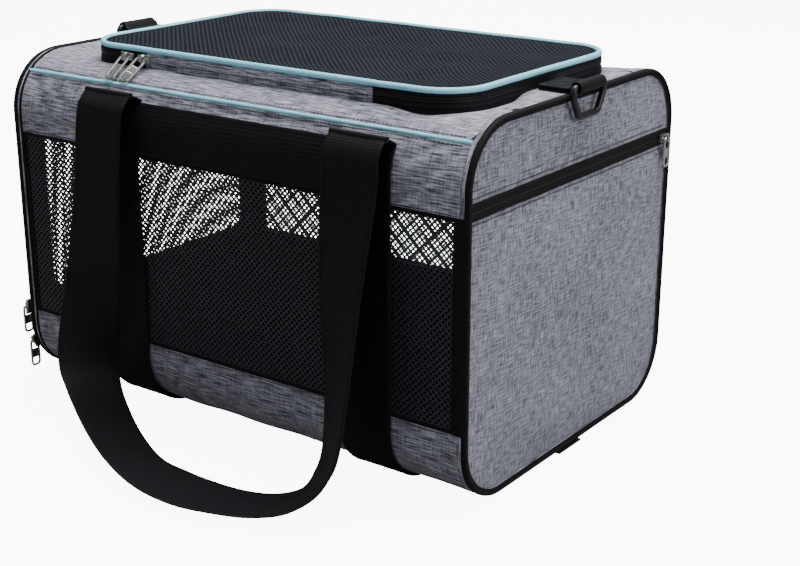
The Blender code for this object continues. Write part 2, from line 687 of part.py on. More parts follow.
def main():
    """Build the carrier."""
    clear_scene()
    build_base()
    for name, side in (("near", -1), ("far", 1)):
        build_long_side(name, side)
        build_cross_band(name, side)
        build_handle(name + "_handle", side)
    build_top()
    build_lid()
    build_pocket_end()
    build_door_end()
    build_door()
    build_straps()
    build_ring_and_tab("pocket_end", 1)
    build_ring_and_tab("door_end", -1)
    build_floor_tab("pocket_end_floor_tab", 0.1600, 0.2150)
    build_floor_tab("door_end_floor_tab", -0.2150, -0.1500)
    build_sliders()


main()
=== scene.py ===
"""Soft-sided pet transport carrier: sewn cloth, nets, webbing, zips, and a plain studio.

Frame: origin under the middle of the base, +X towards the end with the zip pocket, -X towards
the net door, -Y towards the near long side, +Z up.  Units are metres.
"""

import json
import logging
import math
from collections.abc import Callable, Iterator, Sequence
from dataclasses import dataclass, field
from enum import Enum

import bmesh
import bpy
from mathutils import Matrix, Vector

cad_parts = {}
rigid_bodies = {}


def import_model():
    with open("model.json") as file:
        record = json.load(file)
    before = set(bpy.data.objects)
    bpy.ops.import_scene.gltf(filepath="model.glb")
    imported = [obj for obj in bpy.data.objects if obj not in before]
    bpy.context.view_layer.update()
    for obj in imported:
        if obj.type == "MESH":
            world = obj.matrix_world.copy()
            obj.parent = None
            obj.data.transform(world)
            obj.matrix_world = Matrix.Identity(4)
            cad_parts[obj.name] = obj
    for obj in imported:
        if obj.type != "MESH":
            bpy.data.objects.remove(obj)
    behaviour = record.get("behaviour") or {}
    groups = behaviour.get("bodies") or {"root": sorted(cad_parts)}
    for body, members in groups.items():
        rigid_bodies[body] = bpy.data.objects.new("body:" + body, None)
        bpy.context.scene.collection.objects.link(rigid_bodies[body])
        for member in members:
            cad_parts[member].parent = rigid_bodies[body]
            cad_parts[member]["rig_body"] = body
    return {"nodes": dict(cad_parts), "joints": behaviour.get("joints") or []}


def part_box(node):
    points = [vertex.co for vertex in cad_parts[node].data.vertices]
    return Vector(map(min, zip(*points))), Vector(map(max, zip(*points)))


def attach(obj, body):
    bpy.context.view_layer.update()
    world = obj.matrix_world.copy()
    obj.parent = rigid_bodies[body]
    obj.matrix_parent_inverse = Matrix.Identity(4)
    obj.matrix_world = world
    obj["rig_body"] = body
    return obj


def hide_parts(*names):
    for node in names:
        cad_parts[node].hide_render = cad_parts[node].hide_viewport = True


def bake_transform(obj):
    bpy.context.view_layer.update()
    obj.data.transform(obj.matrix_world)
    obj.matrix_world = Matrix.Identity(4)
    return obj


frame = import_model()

log = logging.getLogger("carrier")

X_AXIS, Y_AXIS, Z_AXIS = Vector((1, 0, 0)), Vector((0, 1, 0)), Vector((0, 0, 1))
MM = 0.001


class Side(Enum):
    """The two long sides of the carrier, by the sign of Y."""

    NEAR = -1
    FAR = 1


class End(Enum):
    """The two ends of the carrier, by the sign of X."""

    DOOR = -1
    POCKET = 1


# ---------------------------------------------------------------- shader helpers


def linear(code: str) -> tuple[float, float, float, float]:
    """Turn an sRGB hex colour into a linear one.

    Args:
        code: a colour such as "#8F8F9B".

    Returns:
        The linear red, green and blue, and an alpha of 1.
    """
    parts = [int(code[k : k + 2], 16) / 255 for k in (1, 3, 5)]
    red, green, blue = (p / 12.92 if p <= 0.04045 else ((p + 0.055) / 1.055) ** 2.4 for p in parts)
    return red, green, blue, 1.0


def add_node(tree: bpy.types.NodeTree, kind: str, inputs: dict | None = None, **settings) -> bpy.types.Node:
    """Add one shader node with its settings, values and links.

    Args:
        tree: the node tree that it goes in.
        kind: the node's type, without the leading "ShaderNode".
        inputs: for each input, by name or number, a value or the socket that feeds it.
        **settings: the node's own properties; stops is a colour ramp's list of place and colour.

    Returns:
        The new node.
    """
    node = tree.nodes.new("ShaderNode" + kind)
    stops = settings.pop("stops", None)
    for key, value in settings.items():
        setattr(node, key, value)
    if stops:
        elements = node.color_ramp.elements
        while len(elements) < len(stops):
            elements.new(0.5)
        for element, (place, colour) in zip(elements, stops):
            element.position, element.color = place, colour
    for key, value in (inputs or {}).items():
        if isinstance(value, bpy.types.NodeSocket):
            tree.links.new(value, node.inputs[key])
        else:
            node.inputs[key].default_value = value
    return node


def wave_scale(period: float) -> float:
    """The scale at which a sine wave texture repeats after a length in metres."""
    return math.pi / (10 * period)


@dataclass(frozen=True)
class Finish:
    """A surface finish; each kind says how its material's nodes are laid out."""

    label: str

    def material(self) -> bpy.types.Material:
        """Make the material on first use.

        Returns:
            The one material that every piece with this finish shares.
        """
        found = bpy.data.materials.get(self.label)
        if found:
            return found
        made = bpy.data.materials.new(self.label)
        made.use_nodes = True
        self.dress(made.node_tree, made.node_tree.nodes["Principled BSDF"])
        return made

    def dress(self, tree: bpy.types.NodeTree, shader: bpy.types.Node) -> None:
        """Lay out the nodes behind the shader.

        Args:
            tree: the material's node tree.
            shader: its Principled node.
        """
        raise NotImplementedError

    def settle(self, tree: bpy.types.NodeTree, shader: bpy.types.Node, colour: bpy.types.NodeSocket,
               height: bpy.types.NodeSocket, depth: float, strength: float = 1.0) -> None:
        """Link a colour and a relief to the shader.

        Args:
            tree: the material's node tree.
            shader: its Principled node.
            colour: the socket that gives the base colour.
            height: the socket that gives the relief, from 0 to 1.
            depth: the relief's depth in metres.
            strength: how much of the relief shows.
        """
        tree.links.new(colour, shader.inputs["Base Color"])
        bump = add_node(tree, "Bump", {"Height": height, "Distance": depth, "Strength": strength})
        tree.links.new(bump.outputs["Normal"], shader.inputs["Normal"])


@dataclass(frozen=True)
class HeatherPolyester(Finish):
    """Melange polyester canvas, plain woven from two shades of yarn.

    Each yarn changes shade along its length, so short dark and light slubs run both ways and the
    cloth reads as a streaky grey. The dull yarn gives a matt face with a faint fuzz at the edge.
    """

    light: str = "#B4B5C2"
    middle: str = "#7C7C8A"
    dark: str = "#3A3A47"
    slub: float = 16 * MM
    thread: float = 1.1 * MM  # a pair of threads, drawn coarse enough to show
    along: float = 0.74
    cross: float = 0.26

    def dress(self, tree: bpy.types.NodeTree, shader: bpy.types.Node) -> None:
        """Lay out two crossed sets of slubs, a slow change of shade, and the weave's relief."""
        uv = add_node(tree, "TexCoord").outputs["UV"]
        slubs = []
        for scale, seed in (((1 / self.slub, 1 / self.thread, 1), 0.0), ((1 / self.thread, 1 / self.slub, 1), 7.3)):
            place = add_node(tree, "Mapping", {"Vector": uv, "Scale": scale, "Location": (seed, seed, 0)})
            slubs.append(add_node(tree, "TexNoise", {"Vector": place.outputs[0], "Scale": 1.0, "Detail": 2.5,
                                                     "Roughness": 0.62}).outputs[0])
        warp = add_node(tree, "Math", {0: slubs[0], 1: self.along}, operation="MULTIPLY")
        yarn = add_node(tree, "Math", {0: slubs[1], 1: self.cross, 2: warp.outputs[0]}, operation="MULTIPLY_ADD")
        broad = add_node(tree, "TexNoise", {"Vector": uv, "Scale": 1 / (70 * MM), "Detail": 2.0})
        mixed = add_node(tree, "Math", {0: broad.outputs[0], 1: 0.10, 2: yarn.outputs[0]}, operation="MULTIPLY_ADD")
        shade = add_node(tree, "ValToRGB", {"Fac": mixed.outputs[0]},
                         stops=[(0.43, linear(self.dark)), (0.54, linear(self.middle)), (0.66, linear(self.light))])
        weave = [add_node(tree, "TexWave", {"Vector": uv, "Scale": wave_scale(0.9 * MM), "Distortion": 0.6},
                          bands_direction=axis).outputs[1] for axis in "XY"]
        crossing = add_node(tree, "Math", {0: weave[0], 1: weave[1]}, operation="MULTIPLY")
        relief = add_node(tree, "Math", {0: yarn.outputs[0], 1: 1.6, 2: crossing.outputs[0]},
                          operation="MULTIPLY_ADD")
        self.settle(tree, shader, shade.outputs[0], relief.outputs[0], 0.16 * MM, 0.7)
        shader.inputs["Roughness"].default_value = 0.92
        shader.inputs["Specular IOR Level"].default_value = 0.2
        shader.inputs["Sheen Weight"].default_value = 0.04
        shader.inputs["Sheen Roughness"].default_value = 0.5


@dataclass(frozen=True)
class KnittedNet(Finish):
    """Black warp-knitted polyester net: shiny filament yarn, so each strand has a soft glint."""

    tone: str = "#1A1A20"
    lift: str = "#383842"

    def dress(self, tree: bpy.types.NodeTree, shader: bpy.types.Node) -> None:
        """Lay out a small change of shade and the yarn's twist."""
        place = add_node(tree, "TexCoord").outputs["Object"]
        fuzz = add_node(tree, "TexNoise", {"Vector": place, "Scale": 1 / (1.2 * MM), "Detail": 2.0})
        shade = add_node(tree, "ValToRGB", {"Fac": fuzz.outputs[0]},
                         stops=[(0.35, linear(self.tone)), (0.70, linear(self.lift))])
        self.settle(tree, shader, shade.outputs[0], fuzz.outputs[0], 0.12 * MM, 0.6)
        shader.inputs["Roughness"].default_value = 0.55
        shader.inputs["Specular IOR Level"].default_value = 0.3
        shader.inputs["Sheen Weight"].default_value = 0.02


@dataclass(frozen=True)
class NylonWebbing(Finish):
    """Black nylon webbing, woven in ribs: cross ribs from the weft and long lines from the warp.

    The filament yarn is semi-bright, so the ribs catch a soft broad highlight.
    """

    tone: str = "#040406"
    lift: str = "#111116"
    rib: float = 2.0 * MM
    line: float = 2.6 * MM
    rib_share: float = 0.55

    def dress(self, tree: bpy.types.NodeTree, shader: bpy.types.Node) -> None:
        """Lay out the ribs, the lines and the yarn's small changes of shade."""
        uv = add_node(tree, "TexCoord").outputs["UV"]
        ribs = add_node(tree, "TexWave", {"Vector": uv, "Scale": wave_scale(self.rib), "Distortion": 0.35},
                        bands_direction="X")
        lines = add_node(tree, "TexWave", {"Vector": uv, "Scale": wave_scale(self.line), "Distortion": 0.5},
                         bands_direction="Y")
        worn = add_node(tree, "Mapping", {"Vector": uv, "Scale": (1 / (30 * MM), 1 / (1.5 * MM), 1)})
        yarn = add_node(tree, "TexNoise", {"Vector": worn.outputs[0], "Scale": 1.0, "Detail": 3.0})
        woven = add_node(tree, "Mix", {"Factor": self.rib_share, "A": lines.outputs[1], "B": ribs.outputs[1]})
        mixed = add_node(tree, "Math", {0: yarn.outputs[0], 1: 0.9, 2: woven.outputs[0]}, operation="MULTIPLY_ADD")
        shade = add_node(tree, "ValToRGB", {"Fac": mixed.outputs[0]},
                         stops=[(0.30, linear(self.tone)), (1.0, linear(self.lift))])
        self.settle(tree, shader, shade.outputs[0], woven.outputs[0], 0.22 * MM, 0.8)
        shader.inputs["Roughness"].default_value = 0.60
        shader.inputs["Specular IOR Level"].default_value = 0.15
        shader.inputs["Sheen Weight"].default_value = 0.02
        shader.inputs["Sheen Roughness"].default_value = 0.4


@dataclass(frozen=True)
class TapeCloth(Finish):
    """Black woven polyester tape for bindings, linings and zips: finer than webbing, and matt."""

    tone: str = "#050507"
    lift: str = "#101014"

    def dress(self, tree: bpy.types.NodeTree, shader: bpy.types.Node) -> None:
        """Lay out a fine twill and slow wear."""
        uv = add_node(tree, "TexCoord").outputs["UV"]
        twill = add_node(tree, "TexWave", {"Vector": uv, "Scale": wave_scale(1.3 * MM), "Distortion": 0.5},
                         bands_direction="DIAGONAL")
        wear = add_node(tree, "TexNoise", {"Vector": uv, "Scale": 1 / (9 * MM), "Detail": 4.0})
        mixed = add_node(tree, "Math", {0: twill.outputs[1], 1: 0.35, 2: wear.outputs[0]}, operation="MULTIPLY_ADD")
        shade = add_node(tree, "ValToRGB", {"Fac": mixed.outputs[0]},
                         stops=[(0.35, linear(self.tone)), (0.95, linear(self.lift))])
        self.settle(tree, shader, shade.outputs[0], twill.outputs[1], 0.12 * MM, 0.6)
        shader.inputs["Roughness"].default_value = 0.72
        shader.inputs["Specular IOR Level"].default_value = 0.15
        shader.inputs["Sheen Weight"].default_value = 0.02


@dataclass(frozen=True)
class PipingCord(Finish):
    """Pale blue bias tape sewn over a cord: satin polyester, with a diagonal weave round the cord."""

    tone: str = "#7ACFE9"
    lift: str = "#A0E2F7"

    def dress(self, tree: bpy.types.NodeTree, shader: bpy.types.Node) -> None:
        """Lay out the bias weave and faint soiling."""
        uv = add_node(tree, "TexCoord").outputs["UV"]
        bias = add_node(tree, "TexWave", {"Vector": uv, "Scale": wave_scale(1.4 * MM), "Distortion": 0.8},
                        bands_direction="DIAGONAL")
        soil = add_node(tree, "TexNoise", {"Vector": uv, "Scale": 1 / (14 * MM), "Detail": 3.0})
        mixed = add_node(tree, "Math", {0: bias.outputs[1], 1: 0.25, 2: soil.outputs[0]}, operation="MULTIPLY_ADD")
        shade = add_node(tree, "ValToRGB", {"Fac": mixed.outputs[0]},
                         stops=[(0.35, linear(self.tone)), (0.75, linear(self.lift))])
        self.settle(tree, shader, shade.outputs[0], bias.outputs[1], 0.10 * MM, 0.5)
        shader.inputs["Roughness"].default_value = 0.48
        shader.inputs["Sheen Weight"].default_value = 0.05


@dataclass(frozen=True)
class AirMesh(Finish):
    """Black spacer mesh, two knitted faces with a pattern of small diamond holes between the strands.

    The strands are a worn charcoal and the holes are nearly black.
    """

    tone: str = "#060608"
    lift: str = "#1C1C21"
    cell: float = 3.4 * MM

    def dress(self, tree: bpy.types.NodeTree, shader: bpy.types.Node) -> None:
        """Lay out the lattice of strands on the piece's flat plan."""
        place = add_node(tree, "TexCoord").outputs["Object"]
        turned = add_node(tree, "Mapping", {"Vector": place, "Rotation": (0, 0, math.radians(45))})
        faces = [add_node(tree, "TexWave", {"Vector": turned.outputs[0], "Scale": wave_scale(self.cell),
                                            "Distortion": 0.25}, bands_direction=axis).outputs[1] for axis in "XY"]
        strand = add_node(tree, "Math", {0: faces[0], 1: faces[1]}, operation="MAXIMUM")
        slow = add_node(tree, "TexNoise", {"Vector": place, "Scale": 1 / (45 * MM), "Detail": 3.0})
        mixed = add_node(tree, "Math", {0: slow.outputs[0], 1: 0.35, 2: strand.outputs[0]}, operation="MULTIPLY_ADD")
        shade = add_node(tree, "ValToRGB", {"Fac": mixed.outputs[0]},
                         stops=[(0.72, linear(self.tone)), (1.12, linear(self.lift))])
        self.settle(tree, shader, shade.outputs[0], strand.outputs[0], 0.6 * MM, 1.0)
        shader.inputs["Roughness"].default_value = 0.85
        shader.inputs["Specular IOR Level"].default_value = 0.04
        shader.inputs["Sheen Weight"].default_value = 0.0


@dataclass(frozen=True)
class NickelPlate(Finish):
    """Nickel-plated zinc, die cast and tumbled: bright, with fine scratches that break up the gloss."""

    tone: str = "#C6C6C1"

    def dress(self, tree: bpy.types.NodeTree, shader: bpy.types.Node) -> None:
        """Lay out tumbling marks in the colour, the gloss and the relief."""
        place = add_node(tree, "TexCoord").outputs["Object"]
        marks = add_node(tree, "TexNoise", {"Vector": place, "Scale": 1 / (1.4 * MM), "Detail": 5.0, "Roughness": 0.7})
        shade = add_node(tree, "ValToRGB", {"Fac": marks.outputs[0]},
                         stops=[(0.30, linear("#9E9E99")), (0.60, linear(self.tone))])
        gloss = add_node(tree, "MapRange", {"Value": marks.outputs[0], "From Min": 0.3, "From Max": 0.7,
                                            "To Min": 0.20, "To Max": 0.42})
        tree.links.new(gloss.outputs[0], shader.inputs["Roughness"])
        self.settle(tree, shader, shade.outputs[0], marks.outputs[0], 0.03 * MM, 0.3)
        shader.inputs["Metallic"].default_value = 1.0


@dataclass(frozen=True)
class MouldedAcetal(Finish):
    """Injection-moulded black acetal: waxy half gloss with a very faint moulded texture."""

    tone: str = "#08080B"
    rough: float = 0.34

    def dress(self, tree: bpy.types.NodeTree, shader: bpy.types.Node) -> None:
        """Lay out the moulded texture and rubbed patches."""
        place = add_node(tree, "TexCoord").outputs["Object"]
        grain = add_node(tree, "TexNoise", {"Vector": place, "Scale": 1 / (0.8 * MM), "Detail": 3.0})
        rubbed = add_node(tree, "TexNoise", {"Vector": place, "Scale": 1 / (6 * MM), "Detail": 2.0})
        shade = add_node(tree, "ValToRGB", {"Fac": rubbed.outputs[0]},
                         stops=[(0.40, linear(self.tone)), (0.75, linear("#1B1B1F"))])
        gloss = add_node(tree, "MapRange", {"Value": rubbed.outputs[0], "To Min": self.rough - 0.06,
                                            "To Max": self.rough + 0.10})
        tree.links.new(gloss.outputs[0], shader.inputs["Roughness"])
        self.settle(tree, shader, shade.outputs[0], grain.outputs[0], 0.04 * MM, 0.3)


@dataclass(frozen=True)
class SewingThread(Finish):
    """Bonded polyester sewing thread: twisted, slightly glossy, in the shade given."""

    tone: str = "#3A3A45"
    lift: str = "#50505C"

    def dress(self, tree: bpy.types.NodeTree, shader: bpy.types.Node) -> None:
        """Lay out the twist."""
        place = add_node(tree, "TexCoord").outputs["Object"]
        twist = add_node(tree, "TexNoise", {"Vector": place, "Scale": 1 / (0.6 * MM), "Detail": 1.0})
        shade = add_node(tree, "MixRGB", {"Fac": twist.outputs[0], "Color1": linear(self.tone),
                                          "Color2": linear(self.lift)})
        self.settle(tree, shader, shade.outputs[0], twist.outputs[0], 0.05 * MM, 0.5)
        shader.inputs["Roughness"].default_value = 0.6
        shader.inputs["Specular IOR Level"].default_value = 0.2


@dataclass(frozen=True)
class StudioPaper(Finish):
    """Seamless white studio paper: matt, with a barely visible tooth.

    It looks white where it is seen directly, and throws back no more light than pale grey card, so
    that the carrier's lower half keeps the soft contrast of a lit cut-out.
    """

    tone: str = "#F7F7F7"
    thrown: str = "#909090"
    glow: float = 9.0

    def dress(self, tree: bpy.types.NodeTree, shader: bpy.types.Node) -> None:
        """Lay out the paper's tooth and its glow."""
        place = add_node(tree, "TexCoord").outputs["Object"]
        tooth = add_node(tree, "TexNoise", {"Vector": place, "Scale": 900.0})
        seen = add_node(tree, "LightPath").outputs["Is Camera Ray"]
        white = add_node(tree, "MixRGB", {"Fac": tooth.outputs[0], "Color1": linear(self.tone),
                                          "Color2": linear("#F3F3F3")})
        shade = add_node(tree, "MixRGB", {"Fac": seen, "Color1": linear(self.thrown), "Color2": white.outputs[0]})
        self.settle(tree, shader, shade.outputs[0], tooth.outputs[0], 0.02 * MM, 0.2)
        glow = add_node(tree, "Math", {0: seen, 1: self.glow}, operation="MULTIPLY")
        tree.links.new(glow.outputs[0], shader.inputs["Emission Strength"])
        shader.inputs["Emission Color"].default_value = (1.0, 1.0, 1.0, 1.0)
        shader.inputs["Roughness"].default_value = 0.9


HEATHER = HeatherPolyester("heather polyester")
END_HEATHER = HeatherPolyester("heather polyester end panel", light="#ABABB9", middle="#80808E", dark="#4B4B58",
                               slub=11 * MM, along=0.5, cross=0.5)
TOP_HEATHER = HeatherPolyester("heather polyester top", light="#B9B9C5", middle="#858592", dark="#484854",
                               along=0.7, cross=0.3)
NET = KnittedNet("black knitted net")
WEBBING = NylonWebbing("black nylon webbing")
BAND_WEBBING = NylonWebbing("black nylon band webbing", rib=2.9 * MM, line=2.9 * MM, rib_share=0.15)
TAPE = TapeCloth("black woven tape")
LINING = TapeCloth("black lining cloth", tone="#08080B", lift="#141418")
PIPING = PipingCord("pale blue piping")
PAD_MESH = AirMesh("charcoal air mesh")
LID_MESH = AirMesh("black lid mesh", tone="#010102", lift="#2C2F36", cell=3.4 * MM)
NICKEL = NickelPlate("nickel plate")
ACETAL = MouldedAcetal("black moulded acetal")
BOARD = MouldedAcetal("dark stiffener board", tone="#1E1E21", rough=0.55)
BLACK_THREAD = SewingThread("black sewing thread", tone="#08080B", lift="#15151A")
GREY_THREAD = SewingThread("grey sewing thread", tone="#33333E", lift="#4A4A56")
COIL = MouldedAcetal("black zip coil", tone="#0A0A0E", rough=0.42)


# ---------------------------------------------------------------- mesh helpers


def settle_mesh(piece: bpy.types.Object, smooth: float) -> None:
    """Apply a piece's modifiers and shade it smooth between its sharp edges.

    Args:
        piece: the mesh object.
        smooth: the edge angle, in degrees, above which an edge is sharp.
    """
    if piece.modifiers:
        graph = bpy.context.evaluated_depsgraph_get()
        mesh = bpy.data.meshes.new_from_object(piece.evaluated_get(graph))
        piece.modifiers.clear()
        piece.data = mesh
    piece.data.shade_smooth()
    piece.data.set_sharp_from_angle(angle=math.radians(smooth))


def add_piece(name: str, bm: bmesh.types.BMesh, finish: Finish, body: str,
              stands_for: Sequence[str] = (), wall: float = 0.0, lining: Finish | None = None,
              smooth: float = 50.0) -> bpy.types.Object:
    """Turn a bmesh into a finished piece that rides on a body.

    Args:
        name: the piece's name.
        bm: its mesh in the row frame; it is freed.
        finish: the finish of its outer face.
        body: the CAD body that it moves with.
        stands_for: the CAD nodes that it replaces.
        wall: the thickness given to an open sheet, inwards from its face.
        lining: the finish of the inner face, where it differs.
        smooth: the edge angle in degrees above which an edge is sharp.

    Returns:
        The new object.
    """
    mesh = bpy.data.meshes.new(name)
    bm.to_mesh(mesh)
    bm.free()
    piece = bpy.data.objects.new(name, mesh)
    bpy.context.scene.collection.objects.link(piece)
    for used in (finish, lining):
        if used:
            mesh.materials.append(used.material())
    if wall:
        solid = piece.modifiers.new("wall", "SOLIDIFY")
        solid.thickness, solid.offset = wall, -1.0
        solid.material_offset = 1 if lining else 0
    settle_mesh(piece, smooth)
    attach(piece, body)
    if stands_for:
        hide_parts(*stands_for)
    log.info("%s rides on %s, %d faces", name, body, len(piece.data.polygons))
    return piece


def grid(columns: int, rows: int, place: Callable[[float, float], Vector],
         measure: Callable[[float, float], tuple[float, float]], outward: Vector | None = None,
         centre: Vector = Vector((0, 0, 0.135))) -> bmesh.types.BMesh:
    """Lay a grid over a surface, with its own UV map in metres.

    Args:
        columns: the number of steps in u.
        rows: the number of steps in v.
        place: gives the point for u and v from 0 to 1.
        measure: gives the UV coordinates for u and v, in metres.
        outward: the direction that the faces look in, on average.
        centre: where outward isn't given, the faces look away from this point.

    Returns:
        The open sheet.
    """
    bm = bmesh.new()
    layer = bm.loops.layers.uv.new("UVMap")
    bmesh.ops.create_grid(bm, x_segments=columns, y_segments=rows, size=0.5)
    flat = {v: (v.co.x + 0.5, v.co.y + 0.5) for v in bm.verts}
    for face in bm.faces:
        for loop in face.loops:
            loop[layer].uv = measure(*flat[loop.vert])
    for vert, (u, v) in flat.items():
        vert.co = place(u, v)
    face_outwards(bm, outward, centre)
    return bm


def face_outwards(bm: bmesh.types.BMesh, outward: Vector | None, centre: Vector) -> None:
    """Turn an open sheet so that its faces look outwards.

    Args:
        bm: the sheet.
        outward: the direction to look in, or None to look away from centre.
        centre: the point to look away from.
    """
    bm.normal_update()
    total = sum(f.normal.dot(outward or (f.calc_center_median() - centre)) * f.calc_area() for f in bm.faces)
    if total < 0:
        bmesh.ops.reverse_faces(bm, faces=bm.faces[:])


@dataclass(frozen=True)
class Station:
    """One place on a swept line, with the two directions that its section is drawn in."""

    at: Vector
    side: Vector
    out: Vector

    def point(self, a: float, b: float) -> Vector:
        """The point a along side and b along out."""
        return self.at + self.side * a + self.out * b


def running_length(points: Sequence[Vector], closed: bool) -> list[float]:
    """The length of a line up to each of its points.

    Args:
        points: the line's points.
        closed: whether the line returns to its first point.

    Returns:
        One length for each point, and the whole length last if the line is closed.
    """
    total = [0.0]
    ends = list(points[1:]) + ([points[0]] if closed else [])
    for one, two in zip(points, ends):
        total.append(total[-1] + (Vector(two) - Vector(one)).length)
    return total


def sweep(stations: Sequence[Station], section: Sequence[tuple[float, float]] | Callable[[int], Sequence],
          closed: bool = False) -> bmesh.types.BMesh:
    """Carry a closed section along a line.

    Args:
        stations: the places along the line.
        section: the section's points, or a function that gives them for each station's number.
        closed: whether the line closes on itself.

    Returns:
        The closed solid, with UVs in metres along and round it.
    """
    draw = section if callable(section) else (lambda _: section)
    around, count = len(draw(0)), len(stations)
    spans = count if closed else count - 1
    run = running_length([s.at for s in stations], closed)
    wrap = running_length([Vector((*p, 0)) for p in draw(0)], True)
    bm = bmesh.new()
    layer = bm.loops.layers.uv.new("UVMap")
    bmesh.ops.create_grid(bm, x_segments=spans, y_segments=around, size=0.5)
    index = {v: (round((v.co.x + 0.5) * spans), round((v.co.y + 0.5) * around)) for v in bm.verts}
    for face in bm.faces:
        for loop in face.loops:
            i, j = index[loop.vert]
            loop[layer].uv = (run[i], wrap[j])
    for vert, (i, j) in index.items():
        vert.co = stations[i % count].point(*draw(i % count)[j % around])
    bmesh.ops.remove_doubles(bm, verts=bm.verts, dist=1e-7)
    if not closed:
        bmesh.ops.holes_fill(bm, edges=[e for e in bm.edges if e.is_boundary], sides=0)
    bmesh.ops.recalc_face_normals(bm, faces=bm.faces)
    return bm


def round_section(radius: float, sides: int = 12, flat: float = 1.0) -> list[tuple[float, float]]:
    """A round or flattened section.

    Args:
        radius: its radius along the first direction.
        sides: its number of points.
        flat: its height as a share of its width.

    Returns:
        The section's points.
    """
    turns = [2 * math.pi * (k + 0.5) / sides for k in range(sides)]
    return [(radius * math.cos(a), radius * flat * math.sin(a)) for a in turns]


def strap_section(half: float, thick: float, steps: int = 10, curl: float = 0.0) -> list[tuple[float, float]]:
    """A flat strap's section with rounded edges.

    Args:
        half: half the strap's width.
        thick: its thickness.
        steps: the number of steps across it.
        curl: how far its edges bend away from the middle, along the second direction.

    Returns:
        The section's points.
    """
    r = thick / 2
    across = [(2 * k / steps - 1) * (half - r) for k in range(steps + 1)]
    points = [(s, r + curl * (s / half) ** 2) for s in across]
    points += [(half - r + r * math.cos(a), r * math.sin(a) + curl) for a in (math.pi / 4, 0, -math.pi / 4)]
    points += [(s, -r + curl * (s / half) ** 2) for s in across[::-1]]
    points += [(-half + r + r * math.cos(a), r * math.sin(a) + curl)
               for a in (-3 * math.pi / 4, math.pi, 3 * math.pi / 4)]
    return points


def smooth_line(points: Sequence[Sequence[float]], count: int) -> list[list[float]]:
    """Evenly spaced rows on a smooth curve through given rows of numbers.

    Args:
        points: the rows; the first three numbers of each are its place.
        count: the number of rows wanted.

    Returns:
        The rows on the curve.
    """
    rows = [list(p) for p in points]
    rows = [[2 * a - b for a, b in zip(rows[0], rows[1])], *rows, [2 * a - b for a, b in zip(rows[-1], rows[-2])]]
    lengths = running_length([Vector(p[:3]) for p in points], False)
    found = []
    for k in range(count):
        s = lengths[-1] * k / (count - 1)
        i = max(j for j in range(len(lengths) - 1) if lengths[j] <= s + 1e-12)
        t = (s - lengths[i]) / (lengths[i + 1] - lengths[i])
        p, q, r, u = rows[i : i + 4]
        found.append([0.5 * (2 * b + (c - a) * t + (2 * a - 5 * b + 4 * c - d) * t * t
                             + (3 * b - a - 3 * c + d) * t ** 3) for a, b, c, d in zip(p, q, r, u)])
    return found


def strap_stations(path: Sequence[Vector], across: Vector | Sequence[Vector]) -> list[Station]:
    """Stations of a strap whose width lies along a given direction.

    Args:
        path: the strap's centre line.
        across: the direction of its width, or one for each point.

    Returns:
        The stations; side is across the strap and out is away from its face.
    """
    directions = [across] * len(path) if isinstance(across, Vector) else across
    stations = []
    for i, point in enumerate(path):
        ahead = (path[min(i + 1, len(path) - 1)] - path[max(i - 1, 0)]).normalized()
        side = (directions[i] - ahead * directions[i].dot(ahead)).normalized()
        stations.append(Station(point, side, side.cross(ahead)))
    return stations


def spaced(stations: Sequence[Station], pitch: float, closed: bool = False,
           start: float = 0.0) -> Iterator[tuple[Station, Vector]]:
    """Walk along stations at an even pitch.

    Args:
        stations: the places along a line.
        pitch: the distance between steps.
        closed: whether the line closes on itself.
        start: how far along the first step is, also left free at the end.

    Yields:
        A station between the given ones, and the direction ahead there.
    """
    line = list(stations) + ([stations[0]] if closed else [])
    run = running_length([s.at for s in line], False)
    i, s = 0, start
    while s < run[-1] - start:
        while run[i + 1] < s:
            i += 1
        t = (s - run[i]) / max(run[i + 1] - run[i], 1e-9)
        one, two = line[i], line[i + 1]
        yield (Station(one.at.lerp(two.at, t), one.side.lerp(two.side, t).normalized(),
                       one.out.lerp(two.out, t).normalized()), (two.at - one.at).normalized())
        s += pitch


def add_block(bm: bmesh.types.BMesh, at: Vector, ahead: Vector, out: Vector, size: Sequence[float]) -> None:
    """Add a small block, such as a stitch or a zip tooth.

    Args:
        bm: the mesh that it joins.
        at: its middle.
        ahead: the direction of its length.
        out: the direction of its height.
        size: its length, width and height.
    """
    side = out.cross(ahead).normalized()
    turn = Matrix((ahead, side, ahead.cross(side))).transposed().to_4x4()
    bmesh.ops.create_cube(bm, size=1.0, matrix=Matrix.Translation(at) @ turn @ Matrix.Diagonal((*size, 1.0)))


@dataclass
class Stitching:
    """Rows of lock stitches, gathered into one mesh."""

    pitch: float = 3.4 * MM
    size: tuple[float, float, float] = (2.5 * MM, 0.55 * MM, 0.45 * MM)
    bm: bmesh.types.BMesh = field(default_factory=bmesh.new)

    def row(self, stations: Sequence[Station], side: float, lift: float, closed: bool = False) -> None:
        """Add one row.

        Args:
            stations: the line that it follows.
            side: its offset along each station's side.
            lift: its offset along each station's out.
            closed: whether the line closes on itself.
        """
        for station, ahead in spaced(stations, self.pitch, closed, self.pitch / 2):
            add_block(self.bm, station.point(side, lift), ahead, station.out, self.size)

    def line(self, start: Vector, stop: Vector, out: Vector) -> None:
        """Add a straight row between two points."""
        self.row([Station(p, out.cross(stop - start).normalized(), out) for p in (start, stop)], 0.0, 0.0)


